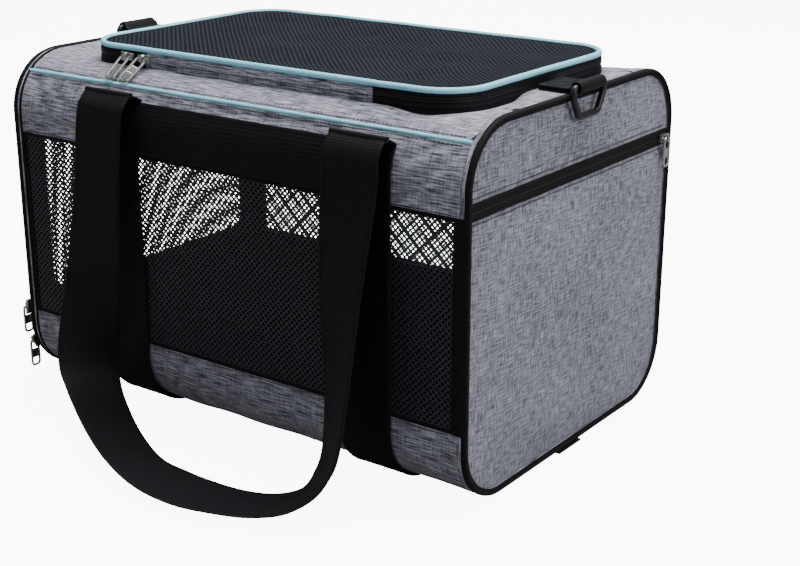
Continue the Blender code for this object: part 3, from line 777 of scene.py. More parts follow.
@dataclass
class ZipCoil:
    """Two facing rows of zip teeth along a line, gathered into one mesh."""

    pitch: float = 1.7 * MM
    tooth: tuple[float, float, float] = (0.95 * MM, 2.0 * MM, 1.0 * MM)
    bm: bmesh.types.BMesh = field(default_factory=bmesh.new)

    def run(self, stations: Sequence[Station], lift: float, closed: bool = False, gap: float = 0.85 * MM,
            rows: Sequence[int] = (-1, 1)) -> None:
        """Add teeth along a line.

        Args:
            stations: the line; side is across the zip and out is away from it.
            lift: how far the teeth stand along out.
            closed: whether the line closes on itself.
            gap: how far each row's middle is from the line.
            rows: the sides of the line that have teeth.
        """
        for row in rows:
            for station, ahead in spaced(stations, self.pitch, closed, self.pitch * (1.0 + 0.25 * row)):
                add_block(self.bm, station.point(row * gap, lift), ahead, station.out, self.tooth)


# ---------------------------------------------------------------- the carrier's shell


@dataclass(frozen=True)
class Shell:
    """The sizes that the sewn panels share, read from the frame where a node gives them."""

    half_length: float
    half_width: float
    base: float
    top: float
    band_top: float
    window_top: float
    radius: float = 45 * MM
    wall: float = 3.6 * MM
    piping_angle: float = math.radians(45)
    piping_radius: float = 1.6 * MM

    @classmethod
    def from_frame(cls) -> "Shell":
        """Read the shell's sizes from the CAD nodes."""
        low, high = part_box("near_lower_band")
        return cls(half_length=high.x, half_width=-low.y, base=low.z, top=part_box("top_panel")[1].z,
                   band_top=high.z, window_top=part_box("near_window_mesh")[1].z)

    def half_at(self, z: float, inset: float = 0.0) -> float:
        """Half the width of the end's outline, moved inwards by inset, at a height."""
        r = self.radius - inset
        low, high = self.base + self.radius, self.top - self.radius
        rise = max(low - z, z - high, 0.0)
        return self.half_width - self.radius + math.sqrt(max(r * r - rise * rise, 0.0))

    def heights(self, low: float, high: float, inset: float = 0.0) -> list[float]:
        """Heights between two limits, closer together round the corners."""
        r = self.radius - inset
        turns = [k * math.pi / 28 for k in range(15)]
        found = [self.base + self.radius - r * math.cos(a) for a in turns]
        found += [self.top - self.radius + r * math.sin(a) for a in turns]
        start, stop = self.base + self.radius, self.top - self.radius
        found += [start + (stop - start) * k / 20 for k in range(1, 20)]
        return [low] + sorted(z for z in found if low + 0.4 * MM < z < high - 0.4 * MM) + [high]

    def round_end(self, x: float, inset: float = 0.0, count: int = 260) -> list[Station]:
        """Even stations round the end's outline, with side outwards and out along X."""
        half, low, high = self.half_width - inset, self.base + inset, self.top - inset
        loop = RoundedLoop(Vector((-half, low)), Vector((half, high)), self.radius - inset)
        return [Station(Vector((x, p.x, p.y)), Vector((0, n.x, n.y)), X_AXIS) for p, n in loop.walk(count)]

    def edge(self, angle: float, side: Side, top: bool = True, inset: float = 0.0) -> Vector:
        """A point's Y and Z on a long edge, at an angle up from the side, as a Y-Z vector."""
        r = self.radius - inset
        z = self.top - self.radius if top else self.base + self.radius
        rise = r * math.sin(angle) * (1 if top else -1)
        return Vector((0, side.value * (self.half_width - self.radius + r * math.cos(angle)), z + rise))


@dataclass(frozen=True)
class RoundedLoop:
    """A rounded rectangle in a plane."""

    low: Vector
    high: Vector
    radius: float

    def walk(self, count: int) -> list[tuple[Vector, Vector]]:
        """Even points anticlockwise from the bottom edge's middle.

        Args:
            count: the number of points.

        Returns:
            Each point with its outward direction.
        """
        r = self.radius
        width, height = self.high.x - self.low.x - 2 * r, self.high.y - self.low.y - 2 * r
        bend = math.pi * r / 2
        parts = [width / 2, bend, height, bend, width, bend, height, bend, width / 2]
        whole = sum(parts)
        corners = [Vector((self.high.x - r, self.low.y + r)), Vector((self.high.x - r, self.high.y - r)),
                   Vector((self.low.x + r, self.high.y - r)), Vector((self.low.x + r, self.low.y + r))]
        found = []
        for k in range(count):
            s, part = whole * k / count, 0
            while s > parts[part]:
                s -= parts[part]
                part += 1
            turn = (part // 2) * math.pi / 2 - math.pi / 2
            if part % 2:
                a = turn + s / r
                n = Vector((math.cos(a), math.sin(a)))
                found.append((corners[part // 2] + n * r, n))
            else:
                n = Vector((math.cos(turn), math.sin(turn)))
                ahead = Vector((-n.y, n.x))
                base = (corners[part // 2 - 1] if part else corners[3] + Vector((width / 2, 0))) + n * r
                found.append((base + ahead * s, n))
        return found


@dataclass(frozen=True)
class Crease:
    """A soft fold that dips inwards along a short line in a panel's own flat plan."""

    x: float
    y: float
    heading: float  # degrees
    length: float
    width: float
    depth: float

    def dip(self, x: float, y: float) -> float:
        """How far the cloth is pushed in at a place on the plan."""
        turn = math.radians(self.heading)
        along = (x - self.x) * math.cos(turn) + (y - self.y) * math.sin(turn)
        across = (y - self.y) * math.cos(turn) - (x - self.x) * math.sin(turn)
        return self.depth * math.exp(-((along / self.length) ** 2) - (across / self.width) ** 2)


def ease(value: float, width: float) -> float:
    """A smooth step from 0 at nothing to 1 at width."""
    t = min(max(value / width, 0.0), 1.0)
    return t * t * (3 - 2 * t)


def ripple(x: float, y: float, size: float) -> float:
    """A slow, soft unevenness between 0 and 1 over a plan."""
    a, b = x / size, y / size
    return 0.5 + 0.25 * math.sin(1.7 * a + 2.1 * math.sin(0.9 * b + 0.4)) * math.cos(1.1 * b - 0.7 * a) \
        + 0.25 * math.sin(2.9 * a - 1.3 * b + 1.9)


@dataclass
class LongSide:
    """One long side: lower band, net window, shoulder panel, piping and the webbing between straps."""

    shell: Shell
    side: Side
    cell: float = 3.4 * MM  # of the net
    strand: float = 0.70 * MM  # half a strand's width
    band_z: tuple[float, float] = (0.2090, 0.2455)
    straps: tuple[float, float] = (-0.1000, 0.1310)
    strap_half: float = 23 * MM

    @property
    def name(self) -> str:
        """The side's name at the front of its pieces' names."""
        return self.side.name.lower()

    def build(self) -> None:
        """Make every piece of the side."""
        self.lower_band()
        self.window()
        self.shoulder()
        self.piping()
        self.cross_band()
        self.edge_tapes()

    def creases(self) -> list[Crease]:
        """The folds in the shoulder, in X and distance up the panel from the window."""
        return [
            Crease(0.176, 0.020, 38, 0.030, 0.0050, 2.4 * MM), Crease(0.190, 0.012, 62, 0.022, 0.0045, 1.8 * MM),
            Crease(0.163, 0.034, 25, 0.020, 0.0040, 1.5 * MM), Crease(-0.150, 0.024, -28, 0.024, 0.0050, 1.8 * MM),
            Crease(-0.185, 0.030, -50, 0.024, 0.0055, 2.0 * MM), Crease(-0.132, 0.012, 70, 0.014, 0.0040, 1.4 * MM),
            Crease(0.020, 0.044, 3, 0.060, 0.0040, 1.2 * MM), Crease(-0.045, 0.041, -4, 0.035, 0.0035, 1.0 * MM),
            Crease(0.085, 0.046, 6, 0.030, 0.0040, 1.0 * MM)]

    def lower_band(self) -> None:
        """The heather band round the bottom edge, a little slack between its seams."""
        shell, bend = self.shell, math.pi / 2 * self.shell.radius
        straight = shell.band_top - shell.base - shell.radius
        whole = bend + straight

        def place(u: float, v: float) -> Vector:
            x, s = shell.half_length * (2 * u - 1), v * whole
            seams = ease(s, 12 * MM) * ease(whole - s, 10 * MM) * ease(shell.half_length - abs(x), 12 * MM)
            dip = 1.3 * MM * seams * ripple(x + self.side.value * 0.3, s, 0.030)
            if s < bend:
                point = shell.edge(math.pi / 2 - s / shell.radius, self.side, False, dip)
            else:
                point = shell.edge(0, self.side, False, dip) + Z_AXIS * (s - bend)
            return point + X_AXIS * x

        bm = grid(150, 26, place, lambda u, v: (shell.half_length * 2 * u, v * whole))
        add_piece(f"{self.name}_band_cloth", bm, HEATHER, "root", [f"{self.name}_lower_band"],
                  shell.wall, LINING)

    def window(self) -> None:
        """The net window, drawn in a little between the straps."""
        shell = self.shell
        low, high = shell.band_top, shell.window_top
        middle = (low + high) / 2

        def place(a: float, b: float) -> Vector:
            slack = math.cos(math.pi * b / (high - low + 4 * MM)) * (1 - (a / shell.half_length) ** 4)
            dip = 0.4 * MM + 2.2 * MM * max(slack, 0) * (0.55 + 0.45 * ripple(a, b, 0.05))
            return Vector((a, self.side.value * (shell.half_width - dip), middle + b))

        bm = knit_net(2 * shell.half_length, high - low, self.cell, self.strand, place)
        add_piece(f"{self.name}_window_net", bm, NET, "root", [f"{self.name}_window_mesh"], 0.45 * MM)

    def shoulder(self) -> None:
        """The heather panel between the window and the piping, creased near its ends and straps."""
        shell = self.shell
        gap = (shell.piping_radius + 0.2 * MM) / shell.radius
        straight = shell.top - shell.radius - shell.window_top
        whole = straight + (shell.piping_angle - gap) * shell.radius
        folds = self.creases()

        def place(u: float, v: float) -> Vector:
            x, s = shell.half_length * (2 * u - 1), v * whole
            clear = min(ease(abs(x - strap) - 21 * MM, 8 * MM) for strap in self.straps)
            seams = ease(s, 7 * MM) * ease(whole - s, 5 * MM) * ease(shell.half_length - abs(x), 9 * MM)
            dip = sum(f.dip(x, s) for f in folds) + 1.1 * MM * ripple(x, s + self.side.value, 0.022)
            dip *= seams * clear
            if s < straight:
                point = shell.edge(0, self.side, True, dip) + Z_AXIS * (s - straight)
            else:
                point = shell.edge((s - straight) / shell.radius, self.side, True, dip)
            return point + X_AXIS * x

        bm = grid(230, 26, place, lambda u, v: (shell.half_length * 2 * u, v * whole + 0.3))
        add_piece(f"{self.name}_shoulder_cloth", bm, HEATHER, "root", [f"{self.name}_shoulder_panel"],
                  shell.wall, LINING)

    def piping(self) -> None:
        """The pale piping along the shoulder, not quite straight."""
        shell = self.shell
        centre = shell.edge(shell.piping_angle, self.side, True, 0.5 * MM)
        out = Vector((0, self.side.value, 1)).normalized()
        stations = []
        for k in range(141):
            x = shell.half_length * (k / 70 - 1)
            stray = 0.35 * MM * (ripple(x, 0.1, 0.025) - 0.5) * ease(shell.half_length - abs(x), 10 * MM)
            stations.append(Station(centre + X_AXIS * x + out * stray, out, X_AXIS.cross(out)))
        add_piece(f"{self.name}_piping_cord", sweep(stations, round_section(shell.piping_radius, 14)), PIPING,
                  "root", [f"{self.name}_shoulder_piping"])
        seam = []
        for turn in (-1, 1):
            angle = shell.piping_angle + turn * (shell.piping_radius + 1.6 * MM) / shell.radius
            spot = shell.edge(angle, self.side, True, -0.05 * MM)
            seam.append([Station(spot + X_AXIS * x, X_AXIS.cross(out), out)
                         for x in (-shell.half_length + 4 * MM, shell.half_length - 4 * MM)])
        stitches = Stitching()
        for line in seam:
            stitches.row(line, 0.0, -0.05 * MM)
        add_piece(f"{self.name}_piping_stitches", stitches.bm, GREY_THREAD, "root")

    def cross_band(self) -> None:
        """The webbing that runs along the side between the sling straps."""
        shell = self.shell
        low, high = self.band_z
        x0, x1 = (self.straps[0] + self.strap_half + 0.3 * MM, self.straps[1] - self.strap_half - 0.3 * MM)
        last = math.asin((high - shell.top + shell.radius) / shell.radius)
        straight = shell.top - shell.radius - low
        whole = straight + last * shell.radius

        def place(u: float, v: float) -> Vector:
            x, s = x0 + (x1 - x0) * u, v * whole
            lift = 2.1 * MM + 0.5 * MM * ripple(x, s, 0.03) * math.sin(math.pi * v)
            if s < straight:
                point = shell.edge(0, self.side, True, -lift) + Z_AXIS * (s - straight)
            else:
                point = shell.edge((s - straight) / shell.radius, self.side, True, -lift)
            return point + X_AXIS * x

        bm = grid(70, 14, place, lambda u, v: (u * (x1 - x0), v * whole))
        add_piece(f"{self.name}_band_webbing", bm, BAND_WEBBING, "root", [f"{self.name}_cross_band"],
                  1.6 * MM)
        stitches = Stitching()
        for v, rise in ((0.07, low + 2.4 * MM), (0.93, high - 2.0 * MM)):
            points = [place(k / 20, v) for k in range(21)]
            out = Vector((0, self.side.value, 0.35 if v > 0.5 else 0)).normalized()
            stitches.row([Station(p, X_AXIS.cross(out), out) for p in points], 0.0, 0.05 * MM)
        add_piece(f"{self.name}_band_stitches", stitches.bm, BLACK_THREAD, "root")

    def edge_tapes(self) -> None:
        """Narrow black tapes over the net's edges, and a row of stitches in the cloth beside them."""
        shell, y = self.shell, self.side.value * (self.shell.half_width - 0.3 * MM)
        out = Y_AXIS * self.side.value
        tapes, stitches = bmesh.new(), Stitching()
        for z, cloth in ((shell.band_top + 0.4 * MM, -1), (shell.window_top - 0.4 * MM, 1)):
            ends = [Vector((x, y, z)) for x in (-shell.half_length, shell.half_length)]
            merge_into(tapes, sweep([Station(p, Z_AXIS, out) for p in ends], strap_section(1.5 * MM, 0.7 * MM, 3)))
            stitches.line(Vector((-shell.half_length + 6 * MM, y + out.y * 0.35 * MM, z + cloth * 2.6 * MM)),
                          Vector((shell.half_length - 6 * MM, y + out.y * 0.35 * MM, z + cloth * 2.6 * MM)), out)
        for x in (-shell.half_length + 2.2 * MM, shell.half_length - 2.2 * MM):
            ends = [Vector((x, y, z)) for z in (shell.band_top - 1 * MM, shell.window_top + 1 * MM)]
            merge_into(tapes, sweep([Station(p, X_AXIS, out) for p in ends], strap_section(2.8 * MM, 0.8 * MM, 3)))
        add_piece(f"{self.name}_net_tapes", tapes, TAPE, "root")
        add_piece(f"{self.name}_net_stitches", stitches.bm, GREY_THREAD, "root")


def merge_into(bm: bmesh.types.BMesh, other: bmesh.types.BMesh) -> None:
    """Add another bmesh to this one, and free it.

    Args:
        bm: the mesh that grows.
        other: the mesh that goes into it.
    """
    mesh = bpy.data.meshes.new("part")
    other.to_mesh(mesh)
    other.free()
    bm.from_mesh(mesh)
    bpy.data.meshes.remove(mesh)


def knit_net(width: float, height: float, cell: float, strand: float,
             place: Callable[[float, float], Vector]) -> bmesh.types.BMesh:
    """A net of square holes turned 45 degrees, trimmed to a rectangle.

    Args:
        width: the rectangle's width.
        height: its height.
        cell: the distance between strands.
        strand: half a strand's width.
        place: puts a point of the flat net, measured from its middle, in the row frame.

    Returns:
        The open sheet, with its holes cut.
    """
    reach = (width + height) / math.sqrt(2) + 2 * cell
    count = math.ceil(reach / cell)
    bm = bmesh.new()
    layer = bm.loops.layers.uv.new("UVMap")
    bmesh.ops.create_grid(bm, x_segments=count, y_segments=count, size=count * cell / 2)
    bmesh.ops.rotate(bm, verts=bm.verts, matrix=Matrix.Rotation(math.radians(45), 3, "Z"))
    for direction, reach in ((X_AXIS, width / 2), (-X_AXIS, width / 2), (Y_AXIS, height / 2), (-Y_AXIS, height / 2)):
        bmesh.ops.bisect_plane(bm, geom=[*bm.verts, *bm.edges, *bm.faces], dist=1e-7, plane_co=direction * reach,
                               plane_no=direction, clear_outer=True)
    holes = [f for f in bm.faces if f.calc_area() > 0.45 * cell * cell and len(f.verts) <= 5]
    bmesh.ops.inset_individual(bm, faces=holes, thickness=strand, use_even_offset=True)
    bmesh.ops.delete(bm, geom=holes, context="FACES")
    for face in bm.faces:
        for loop in face.loops:
            loop[layer].uv = loop.vert.co.xy
    for vert in bm.verts:
        vert.co = place(vert.co.x, vert.co.y)
    face_outwards(bm, None, Vector((0, 0, 0.135)))
    return bm


@dataclass
class Cabin:
    """The base cloth, stiffener board, padded floor and tether strap inside."""

    shell: Shell
    pad_low: float = 9.7 * MM
    pad_high: float = 31.6 * MM
    voxel: float = 6 * MM
    cap: float = 4 * MM

    def build(self) -> None:
        """Make every piece of the floor."""
        self.base_cloth()
        frame["nodes"]["base_board"].data.materials[0] = BOARD.material()
        self.pad()
        self.tether()
        self.floor_tabs()

    def base_cloth(self) -> None:
        """The heather cloth under the board, a little slack between the straps."""
        shell = self.shell
        half = shell.half_width - shell.radius

        def place(u: float, v: float) -> Vector:
            x, y = shell.half_length * (2 * u - 1), half * (2 * v - 1)
            slack = ease(shell.half_length - abs(x), 20 * MM) * ease(half - abs(y), 20 * MM)
            return Vector((x, y, shell.base + 0.7 * MM * slack * ripple(x, y, 0.04)))

        bm = grid(60, 30, place, lambda u, v: (u * 2 * shell.half_length, v * 2 * half))
        add_piece("base_cloth", bm, HEATHER, "root", ["base_fabric"], 3.2 * MM, LINING)

    def pad(self) -> None:
        """The removable floor pad, filled by a short cloth simulation and then trimmed to its space."""
        low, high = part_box("floor_pad")
        half = min(-low.y, high.y) - 3.2 * MM
        bm = bmesh.new()
        bmesh.ops.create_cube(bm, size=1.0)
        bmesh.ops.scale(bm, vec=(high.x - low.x - 5 * MM, 2 * half, self.pad_high - self.pad_low - 4 * MM),
                        verts=bm.verts)
        bmesh.ops.translate(bm, vec=((low.x + high.x) / 2, 0, (self.pad_low + self.pad_high) / 2), verts=bm.verts)
        bmesh.ops.bevel(bm, geom=bm.edges[:], affect="EDGES", offset=6 * MM, segments=3, profile=0.5, material=-1)
        narrow_below(bm, self.pad_low + 8 * MM, 0.86)
        mesh = bpy.data.meshes.new("floor_cushion")
        bm.to_mesh(mesh)
        bm.free()
        pad = bpy.data.objects.new("floor_cushion", mesh)
        bpy.context.scene.collection.objects.link(pad)
        inflate(pad, self.voxel, 4.0, self.cap)
        for vert in pad.data.vertices:
            self.trim(vert, low, high)
        pad.data.materials.append(PAD_MESH.material())
        settle_mesh(pad, 180)
        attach(pad, "root")
        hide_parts("floor_pad")
        log.info("floor_cushion rides on root, %d faces", len(pad.data.polygons))
        self.pad_binding(low, high)

    def trim(self, vert: bpy.types.MeshVertex, low: Vector, high: Vector) -> None:
        """Keep a point of the pad in its space, with a crowned top that falls off to the edges."""
        co = vert.co
        edge = min(co.x - low.x, high.x - co.x, 0.1302 - abs(co.y))
        crown = self.pad_high - 3.0 * MM * (1 - ease(edge, 30 * MM))
        co.z = max(min(co.z, crown - 0.5 * MM * ripple(co.x, co.y, 0.035)), self.pad_low)
        co.x = max(low.x + 0.4 * MM, min(co.x, high.x - 0.4 * MM))
        limit = 0.1295 if co.z > 26 * MM else 0.1068 + 0.0195 * ease(co.z - 9 * MM, 16 * MM)
        co.y = max(-limit, min(co.y, limit))

    def pad_binding(self, low: Vector, high: Vector) -> None:
        """The black binding sewn round the pad's upper edge."""
        loop = RoundedLoop(Vector((low.x + 2 * MM, -0.1268)), Vector((high.x - 2 * MM, 0.1268)), 7 * MM)
        stations = [Station(Vector((p.x, p.y, 28.2 * MM)), Vector((n.x, n.y, 0)), Z_AXIS) for p, n in loop.walk(200)]
        add_piece("cushion_binding", sweep(stations, round_section(1.7 * MM, 10), True), TAPE, "root")

    def tether(self) -> None:
        """The webbing tether that lies on its edge on the pad, in an open loop."""
        low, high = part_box("tether_strap")
        turn = [(-0.190, 0.030), (-0.164, 0.047), (-0.129, 0.056), (-0.096, 0.051), (-0.070, 0.030),
                (-0.060, 0.000), (-0.070, -0.030), (-0.098, -0.055), (-0.130, -0.071), (-0.165, -0.080)]
        z = (low.z + high.z) / 2
        path = [Vector(p) for p in smooth_line([(x, y, z) for x, y in turn], 90)]
        lean = [Vector((0.10 * math.sin(6 * k / 90), 0.10, 1)).normalized() for k in range(90)]
        section = strap_section((high.z - low.z) / 2, 1.7 * MM, 6)
        add_piece("tether_webbing", sweep(strap_stations(path, lean), section), WEBBING, "root",
                  ["tether_strap"])

    def floor_tabs(self) -> None:
        """The short webbing tabs under each end of the base."""
        for name in ("pocket_end_floor_tab", "door_end_floor_tab"):
            low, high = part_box(name)
            z = (low.z + high.z) / 2
            path = [Vector((low.x + (high.x - low.x) * k / 12, 0, z)) for k in range(13)]
            section = strap_section(high.y, high.z - low.z, 8)
            add_piece(name + "_webbing", sweep(strap_stations(path, Y_AXIS), section), WEBBING, "root",
                      [name])


def narrow_below(bm: bmesh.types.BMesh, height: float, share: float) -> None:
    """Draw in the points below a height towards the middle plane.

    Args:
        bm: the mesh.
        height: the height below which points move.
        share: how much of their Y they keep.
    """
    for vert in bm.verts:
        if vert.co.z < height:
            vert.co.y *= share


def inflate(pad: bpy.types.Object, voxel: float, pressure: float, cap: float) -> None:
    """Fill a padded piece with a short cloth simulation, and keep the result.

    Args:
        pad: the object to fill.
        voxel: the size of the mesh that it is rebuilt with.
        pressure: the pressure inside.
        cap: how far any point may move.
    """
    remesh = pad.modifiers.new("rebuild", "REMESH")
    remesh.mode, remesh.voxel_size = "VOXEL", voxel
    settle_mesh(pad, 180)
    start = [v.co.copy() for v in pad.data.vertices]
    cloth = pad.modifiers.new("cloth", "CLOTH")
    cloth.settings.use_pressure = True
    cloth.settings.uniform_pressure_force = pressure
    cloth.settings.effector_weights.gravity = 0
    scene = bpy.context.scene
    for number in range(1, 21):
        scene.frame_set(number)
    settle_mesh(pad, 180)
    for vert, rest in zip(pad.data.vertices, start):
        move = vert.co - rest
        if move.length > cap:
            vert.co = rest + move.normalized() * cap
    scene.frame_set(1)
    smooth = pad.modifiers.new("smooth", "SUBSURF")
    smooth.levels = smooth.render_levels = 1
    settle_mesh(pad, 180)


@dataclass
class Top:
    """The top panel round the lid's opening, the fixed half of the lid's zip and the hinge cloth."""

    shell: Shell
    reach_x: tuple[float, float] = (-0.1680, 0.1830)
    half_y: float = 0.1070
    radius: float = 36 * MM
    split: float = 0.2724  # height between the two halves of the zip
    hinge: tuple[float, float] = (-0.0980, 0.1140)
    tape: float = 2.5 * MM

    def build(self) -> None:
        """Make the panel, the tape, the teeth and the hinge."""
        self.panel()
        self.lower_tape()
        self.hinge_cloth()

    def outline(self, inset: float = 0.0, count: int = 260) -> list[tuple[Vector, Vector]]:
        """Even points round the lid's opening, with their outward directions."""
        low = Vector((self.reach_x[0] + inset, -self.half_y + inset))
        high = Vector((self.reach_x[1] - inset, self.half_y - inset))
        return RoundedLoop(low, high, self.radius - inset).walk(count)

    def open_run(self, z: float, inset: float = 0.0) -> list[Station]:
        """Stations along the outline at a height, all but the hinge's stretch."""
        loop = [(p, n) for p, n in self.outline(inset, 320)
                if not (n.y < -0.999 and self.hinge[0] - 0.3 * MM < p.x < self.hinge[1] + 0.3 * MM)]
        first = max(range(len(loop)), key=lambda k: (loop[k][0] - loop[k - 1][0]).length)
        loop = loop[first:] + loop[:first]
        down = Vector((0, -1))
        y = -self.half_y + inset
        loop = [(Vector((self.hinge[1] + 0.3 * MM, y)), down), *loop, (Vector((self.hinge[0] - 0.3 * MM, y)), down)]
        return [Station(Vector((p.x, p.y, z)), Vector((n.x, n.y, 0)), Z_AXIS) for p, n in loop]

    def height(self, y: float) -> float:
        """The height of the top's outer face at a distance from the middle plane."""
        shell = self.shell
        over = max(abs(y) - shell.half_width + shell.radius, 0.0)
        return shell.top - shell.radius + math.sqrt(shell.radius**2 - over * over)

    def sag(self, x: float, y: float, v: float) -> float:
        """How far the panel dips beside the lid's zip, most at the corners and not under the tabs."""
        near_tab = 1 - ease(abs(y) - 19 * MM, 26 * MM) if not self.reach_x[0] + 4 * MM < x < self.reach_x[1] - 4 * MM else 0.0
        corner = ease(abs(x) - 0.120, 0.05) * (1 - near_tab)
        return (1.0 * MM + 3.6 * MM * corner) * (1 - v) ** 2 * (0.75 + 0.25 * ripple(x, y, 0.03)) * (1 - near_tab)

    def panel(self) -> None:
        """The heather panel, laid as rings from the opening out to the seams."""
        shell, count, rows = self.shell, 300, 12
        gap = (shell.piping_radius + 0.2 * MM) / shell.radius
        half_y = shell.half_width - shell.radius + shell.radius * math.cos(shell.piping_angle + gap)
        inner = self.outline(-0.2 * MM, count)
        edge = Vector((shell.half_length, half_y))
        sides = [self.opposite(p, n, edge) for p, n in inner]

        def flat(u: float, v: float) -> Vector:
            k = round(u * count) % count
            return inner[k][0].lerp(sides[k], v)

        def place(u: float, v: float) -> Vector:
            p = flat(u, v)
            seams = ease(shell.half_length - abs(p.x), 10 * MM) * ease(half_y - abs(p.y), 6 * MM)
            clear = 1.0 if abs(p.y) > 20 * MM else ease(0.1865 - abs(p.x), 3 * MM)
            dip = self.sag(p.x, p.y, v) + 0.9 * MM * ripple(p.x, p.y, 0.024)
            return Vector((p.x, p.y, self.height(p.y) - dip * seams * clear))

        def measure(u: float, v: float) -> tuple[float, float]:
            p = flat(u, v)
            over = max(abs(p.y) - shell.half_width + shell.radius, 0.0)
            bend = shell.radius * math.asin(min(over / shell.radius, 1.0)) - over
            return p.x + 0.6, p.y + math.copysign(bend, p.y) + 0.4

        bm = grid(count, rows, place, measure, Z_AXIS)
        bmesh.ops.remove_doubles(bm, verts=bm.verts, dist=1e-7)
        add_piece("top_cloth", bm, TOP_HEATHER, "root", ["top_panel"], self.shell.wall, LINING)
        stitches = Stitching()
        for end in (-1, 1):
            for side in (-1, 1):
                x, y = end * (shell.half_length - 3 * MM), side * 0.030
                stitches.line(Vector((x, y, shell.top - 0.45 * MM)), Vector((x, side * 0.094, shell.top - 0.45 * MM)),
                              Z_AXIS)
        add_piece("top_stitches", stitches.bm, GREY_THREAD, "root")

    def opposite(self, p: Vector, n: Vector, edge: Vector) -> Vector:
        """The place on the panel's outer rectangle that a place on the opening is joined to."""
        reach = self.reach_x[1] if p.x > 0 else -self.reach_x[0]
        corner = Vector((reach - self.radius, self.half_y - self.radius))
        if abs(n.x) > 0.999:
            return Vector((math.copysign(edge.x, p.x), p.y * edge.y / self.half_y if abs(p.y) > corner.y else p.y))
        if abs(n.y) > 0.999:
            return Vector((p.x, math.copysign(edge.y, p.y)))
        turn = math.atan2(abs(n.y), abs(n.x)) / (math.pi / 2)
        x0, y0 = corner.x, corner.y
        whole = (edge.y - y0) + (edge.x - x0)
        s = turn * whole
        spot = Vector((edge.x, y0 + s)) if s < edge.y - y0 else Vector((edge.x - (s - (edge.y - y0)), edge.y))
        return Vector((math.copysign(spot.x, p.x), math.copysign(spot.y, p.y)))

    def lower_tape(self) -> None:
        """The fixed half of the zip: a black wall that flares at its foot, with a row of teeth."""
        top = -0.15 * MM
        wall = [(0.0, top), (-self.tape, top), (-self.tape, -14.5 * MM), (2.2 * MM, -14.5 * MM), (1.5 * MM, -11 * MM),
                (0.7 * MM, -8 * MM), (0.5 * MM, -5.6 * MM), (0.9 * MM, -5.0 * MM), (0.5 * MM, -4.4 * MM),
                (0.0, -2.0 * MM)]
        run = self.open_run(self.split)
        add_piece("lid_lower_tape", sweep(run, wall), TAPE, "root", ["lid_zip_lower_tape"],
                  smooth=60)
        coil = ZipCoil(tooth=(1.0 * MM, 1.3 * MM, 1.5 * MM))
        upright = [Station(s.at, Z_AXIS, s.side) for s in run]
        coil.run(upright, -0.1 * MM, gap=0.9 * MM, rows=(-1,))
        add_piece("lid_lower_teeth", coil.bm, COIL, "root")
        stitches = Stitching()
        stitches.row(upright, -6.6 * MM, 0.65 * MM)
        add_piece("lid_lower_stitches", stitches.bm, BLACK_THREAD, "root")

    def hinge_cloth(self) -> None:
        """The soft fold of heather that joins the top to the lid along the near edge."""
        x0, x1 = self.hinge
        foot, head = self.shell.top - 7 * MM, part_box("lid_hinge_strip")[1].z + 0.5 * MM
        profile = [(0.0, foot), (-0.4 * MM, foot + 4 * MM), (-1.3 * MM, 0.2680), (-1.1 * MM, 0.2715),
                   (-0.4 * MM, 0.2742), (0.5 * MM, head), (2.1 * MM, head - 0.2 * MM), (2.2 * MM, 0.2700),
                   (2.3 * MM, foot)]
        stations = []
        for k in range(61):
            x = x0 + (x1 - x0) * k / 60
            stray = 0.5 * MM * (ripple(x, 0.4, 0.018) - 0.5)
            stations.append(Station(Vector((x, -self.half_y - stray * math.sin(math.pi * k / 60), 0.0)),
                                    Y_AXIS, Z_AXIS))
        bm = sweep(stations, profile)
        add_piece("hinge_cloth", bm, HEATHER, "root", ["lid_hinge_strip"], smooth=70)
        stitches = Stitching()
        y = -self.half_y - 1.2 * MM
        stitches.line(Vector((x0 + 2 * MM, y - 0.2 * MM, 0.2698)), Vector((x1 - 2 * MM, y - 0.2 * MM, 0.2698)), -Y_AXIS)
        add_piece("hinge_stitches", stitches.bm, GREY_THREAD, "root")


